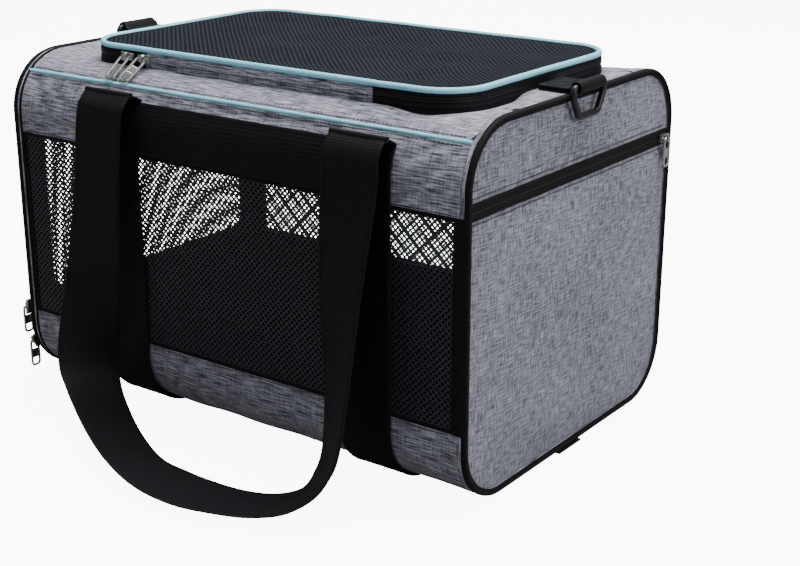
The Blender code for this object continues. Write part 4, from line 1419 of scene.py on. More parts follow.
@dataclass
class Lid:
    """The zip-round lid: a sagging mesh panel, piping, a black border and the moving half of the zip."""

    top: Top
    piping_radius: float = 2.2 * MM
    depth: float = 3.4 * MM  # of the mesh's sag

    def build(self) -> None:
        """Make every piece of the lid."""
        self.mesh()
        self.piping()
        self.upper_tape()

    def mesh(self) -> None:
        """The mesh panel, slack between its seams and lifted by two soft ridges."""
        low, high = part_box("lid_mesh")
        middle, half_x = (low.x + high.x) / 2, (high.x - low.x) / 2 + 1.2 * MM
        half_y, r = high.y + 1.2 * MM, self.top.radius - 3 * MM
        level = (low.z + high.z) / 2 + 0.5 * MM
        ridges = [Crease(0.045, 0.010, 20, 0.10, 0.020, 2.2 * MM), Crease(-0.060, -0.020, -12, 0.09, 0.018, 1.6 * MM),
                  Crease(0.110, -0.035, 74, 0.05, 0.012, 1.2 * MM), Crease(-0.125, 0.030, 60, 0.045, 0.014, 1.4 * MM)]

        def reach(y: float) -> float:
            over = max(abs(y) - half_y + r, 0.0)
            return half_x - r + math.sqrt(max(r * r - over * over, 0.0))

        def flat(u: float, v: float) -> Vector:
            y = half_y * math.sin(math.pi / 2 * (2 * v - 1))
            return Vector((middle + reach(y) * math.sin(math.pi / 2 * (2 * u - 1)), y))

        def place(u: float, v: float) -> Vector:
            p = flat(u, v)
            edge = ease(half_x - abs(p.x - middle), 0.05) * ease(half_y - abs(p.y), 0.045)
            sag = self.depth * edge - sum(f.dip(p.x, p.y) for f in ridges) * edge
            sag += 0.8 * MM * ripple(p.x, p.y, 0.022) * edge
            return Vector((p.x, p.y, level - sag))

        bm = grid(110, 70, place, lambda u, v: tuple(flat(u, v)), Z_AXIS)
        add_piece("lid_mesh_cloth", bm, LID_MESH, "lid", ["lid_mesh"], 0.9 * MM, LINING)

    def piping(self) -> None:
        """The pale piping round the lid, with the slight waviness of a sewn cord."""
        z = (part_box("lid_piping")[0].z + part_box("lid_piping")[1].z) / 2
        stations = []
        for k, (p, n) in enumerate(self.top.outline(1.5 * MM, 320)):
            still = n.y < -0.99 and self.top.hinge[0] < p.x < self.top.hinge[1]
            lift = 0.0 if still else 0.45 * MM * (ripple(p.x, p.y, 0.03) - 0.5)
            stations.append(Station(Vector((p.x, p.y, z + lift)), Vector((n.x, n.y, 0)), Z_AXIS))
        add_piece("lid_piping_cord", sweep(stations, round_section(self.piping_radius, 16), True), PIPING, "lid",
                  ["lid_piping"])
        ring = [Station(s.at - s.side * 3.1 * MM - Z_AXIS * 0.1 * MM, s.side, Z_AXIS) for s in stations]
        add_piece("lid_border", sweep(ring, strap_section(1.6 * MM, 1.0 * MM, 4), True), TAPE, "lid")
        stitches = Stitching()
        stitches.row(ring, -0.4 * MM, 0.55 * MM, True)
        add_piece("lid_border_stitches", stitches.bm, BLACK_THREAD, "lid")

    def upper_tape(self) -> None:
        """The moving half of the zip, under the piping."""
        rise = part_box("lid_zip_upper_tape")[1].z - self.top.split + 0.4 * MM
        wall = [(0.0, 0.15 * MM), (0.0, 1.4 * MM), (0.35 * MM, 1.8 * MM), (0.25 * MM, rise - 0.5 * MM), (-0.3 * MM, rise),
                (-self.top.tape, rise), (-self.top.tape, 0.15 * MM)]
        run = self.top.open_run(self.top.split)
        add_piece("lid_upper_tape", sweep(run, wall), TAPE, "lid", ["lid_zip_upper_tape"], smooth=60)
        coil = ZipCoil(tooth=(1.0 * MM, 1.3 * MM, 1.5 * MM))
        coil.run([Station(s.at, Z_AXIS, s.side) for s in run], -0.1 * MM, gap=0.9 * MM, rows=(1,))
        add_piece("lid_upper_teeth", coil.bm, COIL, "lid")


@dataclass
class PocketEnd:
    """The end with the zip pocket: edge cord, liner, pocket panel, zip and upper panel."""

    shell: Shell
    cord: float = 1.5 * MM

    def build(self) -> None:
        """Make every piece of the end."""
        self.binding()
        self.liner()
        self.panels()
        self.zip()

    def binding(self) -> None:
        """The heather edge that turns the corner, and the black cord that runs round it."""
        x0, x1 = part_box("pocket_end_binding")[0].x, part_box("pocket_end_binding")[1].x
        depth = 4.5 * MM
        edge = [(0.0, 0.0), (0.0, x1 - x0 - 2.6 * MM), (-0.8 * MM, x1 - x0 - 1.6 * MM), (-depth, x1 - x0 - 1.6 * MM),
                (-depth, 0.0)]
        add_piece("pocket_end_edge_cloth", sweep(self.shell.round_end(x0), edge, True), HEATHER, "root",
                  ["pocket_end_binding"], smooth=60)
        cord = self.shell.round_end(x1 - self.cord, self.cord - 0.2 * MM)
        add_piece("pocket_end_edge_cord", sweep(cord, round_section(self.cord, 14), True), TAPE, "root")
        tape = [Station(s.at, s.out, s.side) for s in self.shell.round_end(x1 - 2.9 * MM, 0.0)]
        add_piece("pocket_end_edge_tape", sweep(tape, strap_section(1.1 * MM, 0.7 * MM, 3), True), TAPE, "root")
        inner = self.shell.round_end(x1 - 1.5 * MM, depth - 0.7 * MM)
        add_piece("pocket_end_inner_tape", sweep(inner, strap_section(1.1 * MM, 0.8 * MM, 3), True), TAPE, "root")
        for z0, z1, side in ((self.shell.band_top - 1 * MM, self.shell.window_top + 1 * MM, s) for s in Side):
            out = Y_AXIS * side.value
            ends = [Vector((x0 + 2.0 * MM, side.value * (self.shell.half_width + 0.1 * MM), z)) for z in (z0, z1)]
            strip = sweep([Station(p, X_AXIS, out) for p in ends], strap_section(3.6 * MM, 0.7 * MM, 3))
            add_piece(f"pocket_end_{side.name.lower()}_net_tape", strip, TAPE, "root")

    def panel(self, name: str, node: str, low: float, high: float, x: float, bulge: float, wall: float,
              finish: Finish) -> None:
        """One panel of the end, softly filled out between its seams.

        Args:
            name: the piece's name.
            node: the CAD node that it stands for.
            low: the height of its lower edge.
            high: the height of its upper edge.
            x: the place of its outer face.
            bulge: how far its middle stands out.
            wall: its thickness.
            finish: its outer finish.
        """
        shell, inset = self.shell, 4.3 * MM
        rows = shell.heights(low, high, inset)

        def flat(u: float, v: float) -> Vector:
            z = rows[round(v * (len(rows) - 1))]
            return Vector((shell.half_at(z, inset) * (2 * u - 1), z))

        def place(u: float, v: float) -> Vector:
            p = flat(u, v)
            edge = min(p.y - low, high - p.y, shell.half_at(p.y, inset) - abs(p.x))
            full = ease(edge, 30 * MM) * bulge
            slack = 0.9 * MM * (ripple(p.x + 0.2, p.y, 0.035) - 0.4) * ease(edge, 14 * MM)
            return Vector((x + full + slack - 0.5 * MM * (1 - ease(edge, 4 * MM)), p.x, p.y))

        bm = grid(64, len(rows) - 1, place, lambda u, v: (flat(u, v).x + 0.5, flat(u, v).y), X_AXIS)
        add_piece(name, bm, finish, "root", [node], wall, LINING)

    def liner(self) -> None:
        """The dark cloth behind the pocket."""
        low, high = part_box("pocket_end_liner")
        self.panel("pocket_liner_cloth", "pocket_end_liner", low.z, high.z, high.x, 0.0, 1.8 * MM, LINING)

    def panels(self) -> None:
        """The pocket's own panel and the panel above its zip, each with its rows of stitches."""
        for name, node, bulge in (("pocket_cloth", "pocket_panel", 1.9 * MM),
                                  ("pocket_end_upper_cloth", "pocket_end_upper_panel", 0.6 * MM)):
            low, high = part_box(node)
            self.panel(name, node, low.z, high.z, high.x, bulge, 2.6 * MM, END_HEATHER)
        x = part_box("pocket_panel")[1].x - 0.1 * MM
        stitches = Stitching(size=(2.6 * MM, 0.6 * MM, 0.5 * MM))
        for z in (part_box("pocket_end_upper_panel")[0].z + 3.2 * MM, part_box("pocket_end_upper_panel")[0].z + 8.6 * MM,
                  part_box("pocket_panel")[1].z - 2.4 * MM):
            half = self.shell.half_at(z, 7 * MM)
            stitches.line(Vector((x, -half, z)), Vector((x, half, z)), X_AXIS)
        add_piece("pocket_stitches", stitches.bm, GREY_THREAD, "root")

    def zip(self) -> None:
        """The pocket's zip: a wide black tape with its coil turned inwards."""
        low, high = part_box("pocket_zip_tape")
        z, half = (low.z + high.z) / 2, high.y + 0.2 * MM
        rows = []
        for k in range(49):
            y = half * (2 * k / 48 - 1)
            rows.append(Station(Vector((high.x + 0.15 * MM * math.sin(y * 90), y, z)), Z_AXIS, X_AXIS))
        h = (high.z - low.z) / 2 + 0.4 * MM
        tape = [(-h, -2.6 * MM), (h, -2.6 * MM), (h, -0.8 * MM), (h - 0.9 * MM, 0.2 * MM), (1.2 * MM, 0.35 * MM),
                (0.5 * MM, -0.5 * MM), (-0.5 * MM, -0.5 * MM), (-1.2 * MM, 0.35 * MM), (-h + 0.9 * MM, 0.2 * MM),
                (-h, -0.8 * MM)]
        add_piece("pocket_zip_webbing", sweep(rows, tape), TAPE, "root", ["pocket_zip_tape"], smooth=60)
        coil = ZipCoil(tooth=(0.9 * MM, 0.8 * MM, 0.7 * MM))
        coil.run(rows, -0.35 * MM, gap=0.3 * MM)
        add_piece("pocket_zip_teeth", coil.bm, COIL, "root")
        stitches = Stitching(size=(2.2 * MM, 0.4 * MM, 0.35 * MM))
        for side in (-1, 1):
            stitches.row(rows, side * (h - 1.6 * MM), 0.3 * MM)
        add_piece("pocket_zip_stitches", stitches.bm, BLACK_THREAD, "root")


@dataclass
class DoorEnd:
    """The door's end: black gusset, edge cords, upper panel and the zip round the door."""

    shell: Shell
    inset: float = 4.8 * MM  # the door's edge from the body's outline
    top: float = 0.2425  # of the door

    def build(self) -> None:
        """Make every piece of the end."""
        self.gusset()
        self.upper_panel()
        self.coil()

    def gusset(self) -> None:
        """The black gusset, a slim heather strip beside it and a black cord at the panels' edge."""
        shell = self.shell
        x0, x1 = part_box("door_end_gusset")[1].x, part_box("door_end_gusset")[0].x
        depth = 3.9 * MM
        soft = [(0.3 * MM, -2.2 * MM), (0.9 * MM, -3.2 * MM), (0.8 * MM, -5.2 * MM), (0.1 * MM, x1 - x0),
                (-1.2 * MM, x1 - x0 - 0.3 * MM), (-depth, x1 - x0 - 0.1 * MM), (-depth, -1.0 * MM), (-0.6 * MM, -1.4 * MM)]
        add_piece("door_end_gusset_cloth", sweep(shell.round_end(x0), soft, True), TAPE, "root",
                  ["door_end_gusset"], smooth=70)
        strip = [(0.0, 0.0), (0.25 * MM, -0.9 * MM), (0.2 * MM, -2.4 * MM), (-1.4 * MM, -2.4 * MM), (-3.0 * MM, 0.0)]
        add_piece("door_end_edge_cloth", sweep(shell.round_end(x0), strip, True), TOP_HEATHER, "root",
                  smooth=70)
        cord = shell.round_end(x0 + 0.9 * MM, 0.1 * MM)
        add_piece("door_end_edge_cord", sweep(cord, round_section(1.15 * MM, 12), True), TAPE, "root")
        stitches = Stitching(size=(2.2 * MM, 0.4 * MM, 0.35 * MM))
        rim = shell.round_end(x1 + 2.9 * MM, -0.95 * MM)
        stitches.row([Station(s.at, s.out, s.side) for s in rim], 0.0, 0.0, True)
        add_piece("door_end_stitches", stitches.bm, BLACK_THREAD, "root")

    def upper_panel(self) -> None:
        """The heather panel above the door."""
        low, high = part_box("door_end_upper_panel")
        shell, inset = self.shell, 4.0 * MM
        rows = shell.heights(low.z, high.z, inset)

        def flat(u: float, v: float) -> Vector:
            z = rows[round(v * (len(rows) - 1))]
            return Vector((shell.half_at(z, inset) * (2 * u - 1), z))

        def place(u: float, v: float) -> Vector:
            p = flat(u, v)
            edge = min(p.y - low.z, high.z - p.y)
            return Vector((low.x - 0.5 * MM * ease(edge, 9 * MM), p.x, p.y))

        bm = grid(60, len(rows) - 1, place, lambda u, v: (flat(u, v).x + 0.5, flat(u, v).y + 0.3), -X_AXIS)
        add_piece("door_end_upper_cloth", bm, END_HEATHER, "root", ["door_end_upper_panel"], 3.0 * MM,
                  LINING)

    def door_edge(self, inset: float, x: float, low: float = 0.030, count: int = 420) -> list[Station]:
        """Stations up the near edge, over the top and down the far edge of the door."""
        shell = self.shell
        top = self.top + self.inset - inset
        right = [Vector((0, shell.half_at(z, inset), z)) for z in
                 [low + (top - low) * k / 80 for k in range(81)]]
        across = [Vector((0, right[-1].y * (1 - k / 30), top)) for k in range(1, 60)]
        line = right + across + [Vector((0, -p.y, p.z)) for p in right[::-1]]
        line = [p + X_AXIS * x for p in line]
        stations = []
        for i, p in enumerate(line):
            ahead = (line[min(i + 1, len(line) - 1)] - line[max(i - 1, 0)]).normalized()
            stations.append(Station(p, ahead.cross(X_AXIS).normalized(), -X_AXIS))
        return stations

    def coil(self) -> None:
        """The zip's coil round the door, between two slim tapes."""
        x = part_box("door_zip_coil")[1].x
        coil = ZipCoil(tooth=(1.0 * MM, 1.3 * MM, 0.9 * MM))
        coil.run(self.door_edge(self.inset - 2.0 * MM, x), 0.0 * MM, gap=0.65 * MM)
        add_piece("door_zip_teeth", coil.bm, COIL, "root", ["door_zip_coil"])
        tape = sweep(self.door_edge(self.inset - 2.0 * MM, x + 0.1 * MM), strap_section(2.4 * MM, 0.6 * MM, 4))
        add_piece("door_zip_webbing", tape, TAPE, "root")


@dataclass
class Door:
    """The net door: lower panel, black border with a net window, and a hinge tape at its foot."""

    shell: Shell
    inset: float = 4.8 * MM
    split: float = 0.0620
    top: float = 0.2425
    half: float = 0.1150
    window: tuple[float, float] = (0.0700, 0.2100)

    def build(self) -> None:
        """Make every piece of the door."""
        self.lower_panel()
        self.border()
        self.net()
        self.hinge_tape()

    def lower_panel(self) -> None:
        """The heather panel under the net."""
        low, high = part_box("door_lower_panel")
        shell = self.shell
        rows = shell.heights(low.z, high.z, self.inset)

        def flat(u: float, v: float) -> Vector:
            z = rows[round(v * (len(rows) - 1))]
            return Vector((shell.half_at(z, self.inset) * (2 * u - 1), z))

        def place(u: float, v: float) -> Vector:
            p = flat(u, v)
            edge = min(p.y - low.z, high.z - p.y, shell.half_at(p.y, self.inset) - abs(p.x))
            return Vector((low.x + 0.4 * MM - 0.8 * MM * ease(edge, 12 * MM), p.x, p.y))

        bm = grid(60, len(rows) - 1, place, lambda u, v: (flat(u, v).x + 0.5, flat(u, v).y + 0.6), -X_AXIS)
        add_piece("door_lower_cloth", bm, END_HEATHER, "door", ["door_lower_panel"], 2.6 * MM, LINING)

    def border(self) -> None:
        """The black border, laid as rings from the window out to the door's edge."""
        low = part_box("door_border")[0]
        loop = RoundedLoop(Vector((-self.half, self.window[0])), Vector((self.half, self.window[1])), 12 * MM)
        count = 240
        inner = loop.walk(count)
        middle = Vector((0, sum(self.window) / 2))

        def outer(p: Vector) -> Vector:
            way = p - middle
            reach_z = (self.top - middle.y) if way.y > 0 else (middle.y - self.split)
            grow = min(reach_z / max(abs(way.y), 1e-6), 0.1354 / max(abs(way.x), 1e-6))
            q = middle + way * grow
            limit = self.shell.half_at(q.y, self.inset)
            return Vector((max(-limit, min(limit, q.x)), q.y))

        rim = [outer(p) for p, _ in inner]

        def place(u: float, v: float) -> Vector:
            k = round(u * count) % count
            p = inner[k][0].lerp(rim[k], v)
            soft = 0.7 * MM * math.sin(math.pi * v)
            return Vector((low.x + 0.5 * MM - soft, p.x, p.y))

        def measure(u: float, v: float) -> tuple[float, float]:
            p = place(u, v)
            return p.y + 0.5, p.z

        bm = grid(count, 6, place, measure, -X_AXIS)
        bmesh.ops.remove_doubles(bm, verts=bm.verts, dist=1e-7)
        add_piece("door_border_cloth", bm, TAPE, "door", ["door_border"], 2.6 * MM, LINING)
        stitches = Stitching()
        ring = [Station(Vector((low.x - 0.05 * MM, p.x, p.y)), Vector((0, n.x, n.y)), -X_AXIS)
                for p, n in RoundedLoop(loop.low - Vector((3 * MM, 3 * MM)), loop.high + Vector((3 * MM, 3 * MM)),
                                        15 * MM).walk(count)]
        stitches.row(ring, 0.0, 0.0, True)
        add_piece("door_border_stitches", stitches.bm, BLACK_THREAD, "door")

    def net(self) -> None:
        """The door's net."""
        low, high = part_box("door_mesh")
        middle = (low + high) / 2
        width, height = high.y - low.y + 2 * MM, high.z - low.z + 2 * MM

        def place(a: float, b: float) -> Vector:
            slack = math.cos(math.pi * a / width) * math.cos(math.pi * b / height)
            return Vector((middle.x + 1.6 * MM * slack, a, middle.z + b))

        bm = knit_net(width, height, 3.4 * MM, 0.68 * MM, place)
        add_piece("door_net", bm, NET, "door", ["door_mesh"], 0.45 * MM)

    def hinge_tape(self) -> None:
        """The tape along the door's foot, taken off every body so that it stays where it is."""
        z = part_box("door_lower_panel")[0].z
        half = self.shell.half_width - self.shell.radius - 1 * MM
        x = -0.2146

        def place(u: float, v: float) -> Vector:
            return Vector((x, half * (2 * u - 1), z - 4.2 * MM + 8.4 * MM * v))

        bm = grid(40, 12, place, lambda u, v: (u * 2 * half, v * 8 * MM), -X_AXIS)
        tape = add_piece("door_hinge_webbing", bm, TAPE, "root", (), 0.4 * MM)
        tape.parent = None
        del tape["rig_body"]
        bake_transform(tape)


@dataclass
class SlingStraps:
    """The two webbing straps that run under the base and up both sides."""

    shell: Shell
    places: tuple[float, float] = (-0.1000, 0.1310)
    half: float = 23 * MM
    thick: float = 1.8 * MM
    leave: float = math.radians(32)
    axis: tuple[float, float] = (0.1450, 0.2525)  # of a handle, in |Y| and Z

    def build(self) -> None:
        """Make both straps with their stitches."""
        for x, name in zip(self.places, ("door_end", "pocket_end")):
            stations = strap_stations(self.path(x), X_AXIS)
            section = strap_section(self.half, self.thick, 12)
            add_piece(f"{name}_sling_webbing", sweep(stations, section), WEBBING, "root",
                      [f"{name}_sling_strap"])
            stitches = Stitching()
            for side in (-1, 1):
                stitches.row(stations, side * (self.half - 2.4 * MM), self.outer(stations))
            add_piece(f"{name}_sling_stitches", stitches.bm, BLACK_THREAD, "root")

    def outer(self, stations: Sequence[Station]) -> float:
        """The lift that puts stitches on the strap's outer face."""
        middle = stations[len(stations) // 2]
        return self.thick / 2 * (-1 if middle.out.z > 0 else 1)

    def path(self, x: float) -> list[Vector]:
        """The strap's centre line, from the far handle under the base to the near one."""
        shell, off = self.shell, 0.4 * MM + self.thick / 2
        under = self.thick / 2
        flat = shell.half_width - shell.radius
        bend = shell.radius + shell.base - under
        half = [Vector((x, flat * k / 12, under)) for k in range(13)]
        for k in range(1, 17):
            a = math.pi / 2 * (1 - k / 16)
            half.append(Vector((x, min(flat + bend * math.cos(a), shell.half_width + off),
                                shell.base + shell.radius - bend * math.sin(a))))
        half += [Vector((x, shell.half_width + off, z)) for z in (0.07, 0.10, 0.13, 0.16, 0.19, 0.21)]
        for k in range(9):
            a = self.leave * k / 8
            half.append(shell.edge(a, Side.FAR, True, -off) + X_AXIS * x)
        centre = Vector((x, *self.axis))
        stop = centre + (half[-1] - centre).normalized() * 1.55 * MM
        half += [half[-1].lerp(stop, 0.5) + Vector((0, 0.2 * MM, 0.6 * MM)), stop]
        return [Vector((x, -p.y, p.z)) for p in half[:0:-1]] + half


@dataclass
class CarryHandle:
    """One carry handle: a long loop of webbing that hangs outside its side and lies on the floor."""

    side: Side
    half: float = 23 * MM
    thick: float = 1.8 * MM
    roll: float = 2.2 * MM
    places: tuple[float, float] = (-0.1000, 0.1310)
    axis: tuple[float, float] = (0.1450, 0.2525)
    count: int = 170

    def rows(self) -> list[tuple[float, ...]]:
        """Centre points of the near handle with the direction across its webbing."""
        y, z = self.axis
        x0, x1 = self.places
        return [
            (x0, -y, z, -1.0, 0.0, 0.0),
            (x0, -y - 0.0062, z - 0.0060, -1.0, 0.0, 0.0),
            (x0 - 0.001, -0.1555, 0.2340, -1.0, 0.0, 0.0),
            (-0.1060, -0.1585, 0.1700, -1.0, -0.05, 0.0),
            (-0.1120, -0.1630, 0.1000, -0.93, -0.36, 0.0),
            (-0.1150, -0.1690, 0.0520, -0.60, -0.78, 0.12),
            (-0.1060, -0.1745, 0.0300, -0.38, -0.90, 0.22),
            (-0.0850, -0.1860, 0.0190, -0.38, -0.88, 0.30),
            (-0.0520, -0.2040, 0.0130, -0.44, -0.83, 0.32),
            (-0.0140, -0.2215, 0.0100, -0.36, -0.89, 0.26),
            (0.0190, -0.2290, 0.0080, -0.13, -0.99, 0.10),
            (0.0500, -0.2300, 0.0070, 0.08, -1.0, 0.06),
            (0.0770, -0.2250, 0.0065, 0.26, -0.96, 0.10),
            (0.0990, -0.2165, 0.0065, 0.40, -0.91, 0.12),
            (0.1160, -0.2070, 0.0095, 0.58, -0.80, 0.16),
            (0.1265, -0.1975, 0.0160, 0.70, -0.66, 0.28),
            (0.1315, -0.1890, 0.0270, 0.74, -0.59, 0.32),
            (0.1330, -0.1805, 0.0430, 0.76, -0.58, 0.28),
            (0.1305, -0.1700, 0.0850, 0.84, -0.52, 0.15),
            (0.1270, -0.1610, 0.1500, 0.95, -0.25, 0.0),
            (0.1310, -0.1560, 0.2200, 1.0, 0.0, 0.0),
            (x1, -0.1545, 0.2380, 1.0, 0.0, 0.0),
            (x1, -y - 0.0062, z - 0.0060, 1.0, 0.0, 0.0),
            (x1, -y, z, 1.0, 0.0, 0.0),
        ]

    def build(self) -> None:
        """Make the webbing, the rolls that it turns over at its ends, and its stitches."""
        body, flip = f"{self.side.name.lower()}_handle", -self.side.value
        rows = smooth_line(self.rows(), self.count)
        path = [Vector((r[0], flip * r[1], r[2])) for r in rows]
        across = [Vector((r[3], flip * r[4], r[5])) for r in rows]
        stations = strap_stations(path, across)
        bm = sweep(stations, strap_section(self.half, self.thick, 12, 0.5 * MM))
        for x in self.places:
            centre = Vector((x, self.side.value * self.axis[0], self.axis[1]))
            ends = [Station(centre + X_AXIS * s * (self.half + 0.1 * MM), Y_AXIS, Z_AXIS) for s in (-1, -0.5, 0, 0.5, 1)]
            merge_into(bm, sweep(ends, round_section(self.roll, 14)))
        add_piece(f"{body}_webbing", bm, WEBBING, body, [f"{body}_strap"])
        stitches = Stitching()
        for edge in (-1, 1):
            for face in (-1, 1):
                stitches.row(stations[3:-3], edge * (self.half - 2.6 * MM), face * self.thick / 2 + 0.40 * MM)
        for x, part in ((self.places[0], stations[4:14]), (self.places[1], stations[-14:-4])):
            for station in part[::3]:
                line = [Station(station.point(s * 18 * MM, 0), station.side, station.out) for s in (-1, 1)]
                stitches.row([Station(s.at, s.out.cross(s.side), s.out) for s in line], 0, self.thick / 2 + 0.1 * MM)
        add_piece(f"{body}_stitches", stitches.bm, BLACK_THREAD, body)


@dataclass
class RingAndTab:
    """A moulded D-ring and the folded webbing tab that holds it at the top of one end."""

    end: End
    wire: float = 2.2 * MM
    tab_half: float = 17.5 * MM
    tab_thick: float = 1.7 * MM
    foot: float = 0.1880
    corners: tuple[tuple[float, float], ...] = ((0.0205, 0.2730), (0.0205, 0.2655), (0.0125, 0.2520),
                                                (-0.0125, 0.2520), (-0.0205, 0.2655), (-0.0205, 0.2730))

    def build(self) -> None:
        """Make the ring and its tab."""
        name = f"{self.end.name.lower()}_end"
        low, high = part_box(f"{name}_d_ring")
        x = (low.x + high.x) / 2
        self.ring(name, x)
        self.tab(name, x, high.z - self.wire)

    def ring(self, name: str, x: float) -> None:
        """The D-ring: a thick moulded bar with rounded corners and a flat parting line."""
        corners = [Vector(c) for c in self.corners]
        line = []
        for i, c in enumerate(corners):
            before, after = corners[i - 1] - c, corners[(i + 1) % len(corners)] - c
            p, q = c + before.normalized() * 3 * MM, c + after.normalized() * 3 * MM
            line += [p.lerp(c, t).lerp(c.lerp(q, t), t) for t in (0, 0.2, 0.4, 0.6, 0.8, 1)]
            line += [q.lerp(corners[(i + 1) % len(corners)] - after.normalized() * 3 * MM, t) for t in (0.33, 0.66)]
        stations = []
        for i, p in enumerate(line):
            ahead = (line[(i + 1) % len(line)] - line[i - 1]).normalized()
            out = Vector((0, -ahead.y, ahead.x)) * -1
            stations.append(Station(Vector((x, p.x, p.y)), out, X_AXIS))
        section = [(self.wire * c, self.wire * s) for c, s in
                   [(1, -0.45), (1, 0.45), (0.8, 0.8), (0.45, 1), (-0.45, 1), (-0.8, 0.8), (-1, 0.45), (-1, -0.45),
                    (-0.8, -0.8), (-0.45, -1), (0.45, -1), (0.8, -0.8)]]
        add_piece(f"{name}_moulded_ring", sweep(stations, section, True), ACETAL, f"{name}_ring",
                  [f"{name}_d_ring"], smooth=50)

    def tab(self, name: str, ring_x: float, ring_z: float) -> None:
        """The tab: webbing sewn to the top, round the ring's bar and back on itself."""
        end = self.end.value
        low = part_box(f"{name}_ring_tab")[0].z + self.tab_thick / 2
        radius, reach = ring_z - low, abs(ring_x)
        top = low + self.tab_thick + 0.3 * MM
        path = [(self.foot + k * (reach - 4 * MM - self.foot) / 8, low) for k in range(9)]
        for k in range(21):
            a = math.radians(-90 + 240 * k / 20)
            path.append((reach + radius * math.cos(a), ring_z + radius * math.sin(a)))
        path += [(0.2128, top + 0.4 * MM), (0.2105, top)] + [(0.2105 - k * (0.2105 - self.foot) / 7, top)
                                                             for k in range(1, 8)]
        stations = strap_stations([Vector((end * x, 0.0, z)) for x, z in path], Y_AXIS)
        add_piece(f"{name}_tab_webbing", sweep(stations, strap_section(self.tab_half, self.tab_thick, 10)), WEBBING,
                  "root", [f"{name}_ring_tab"])
        stitches = Stitching(size=(2.6 * MM, 0.6 * MM, 0.6 * MM))
        z, a, b, h = top + self.tab_thick / 2, end * (self.foot + 3 * MM), end * (self.foot + 17 * MM), 13 * MM
        box = [Vector((a, -h, z)), Vector((b, -h, z)), Vector((b, h, z)), Vector((a, h, z))]
        for one, two in [(0, 1), (1, 2), (2, 3), (3, 0), (0, 2), (1, 3)]:
            stitches.line(box[one], box[two], Z_AXIS)
        add_piece(f"{name}_tab_stitches", stitches.bm, BLACK_THREAD, "root")


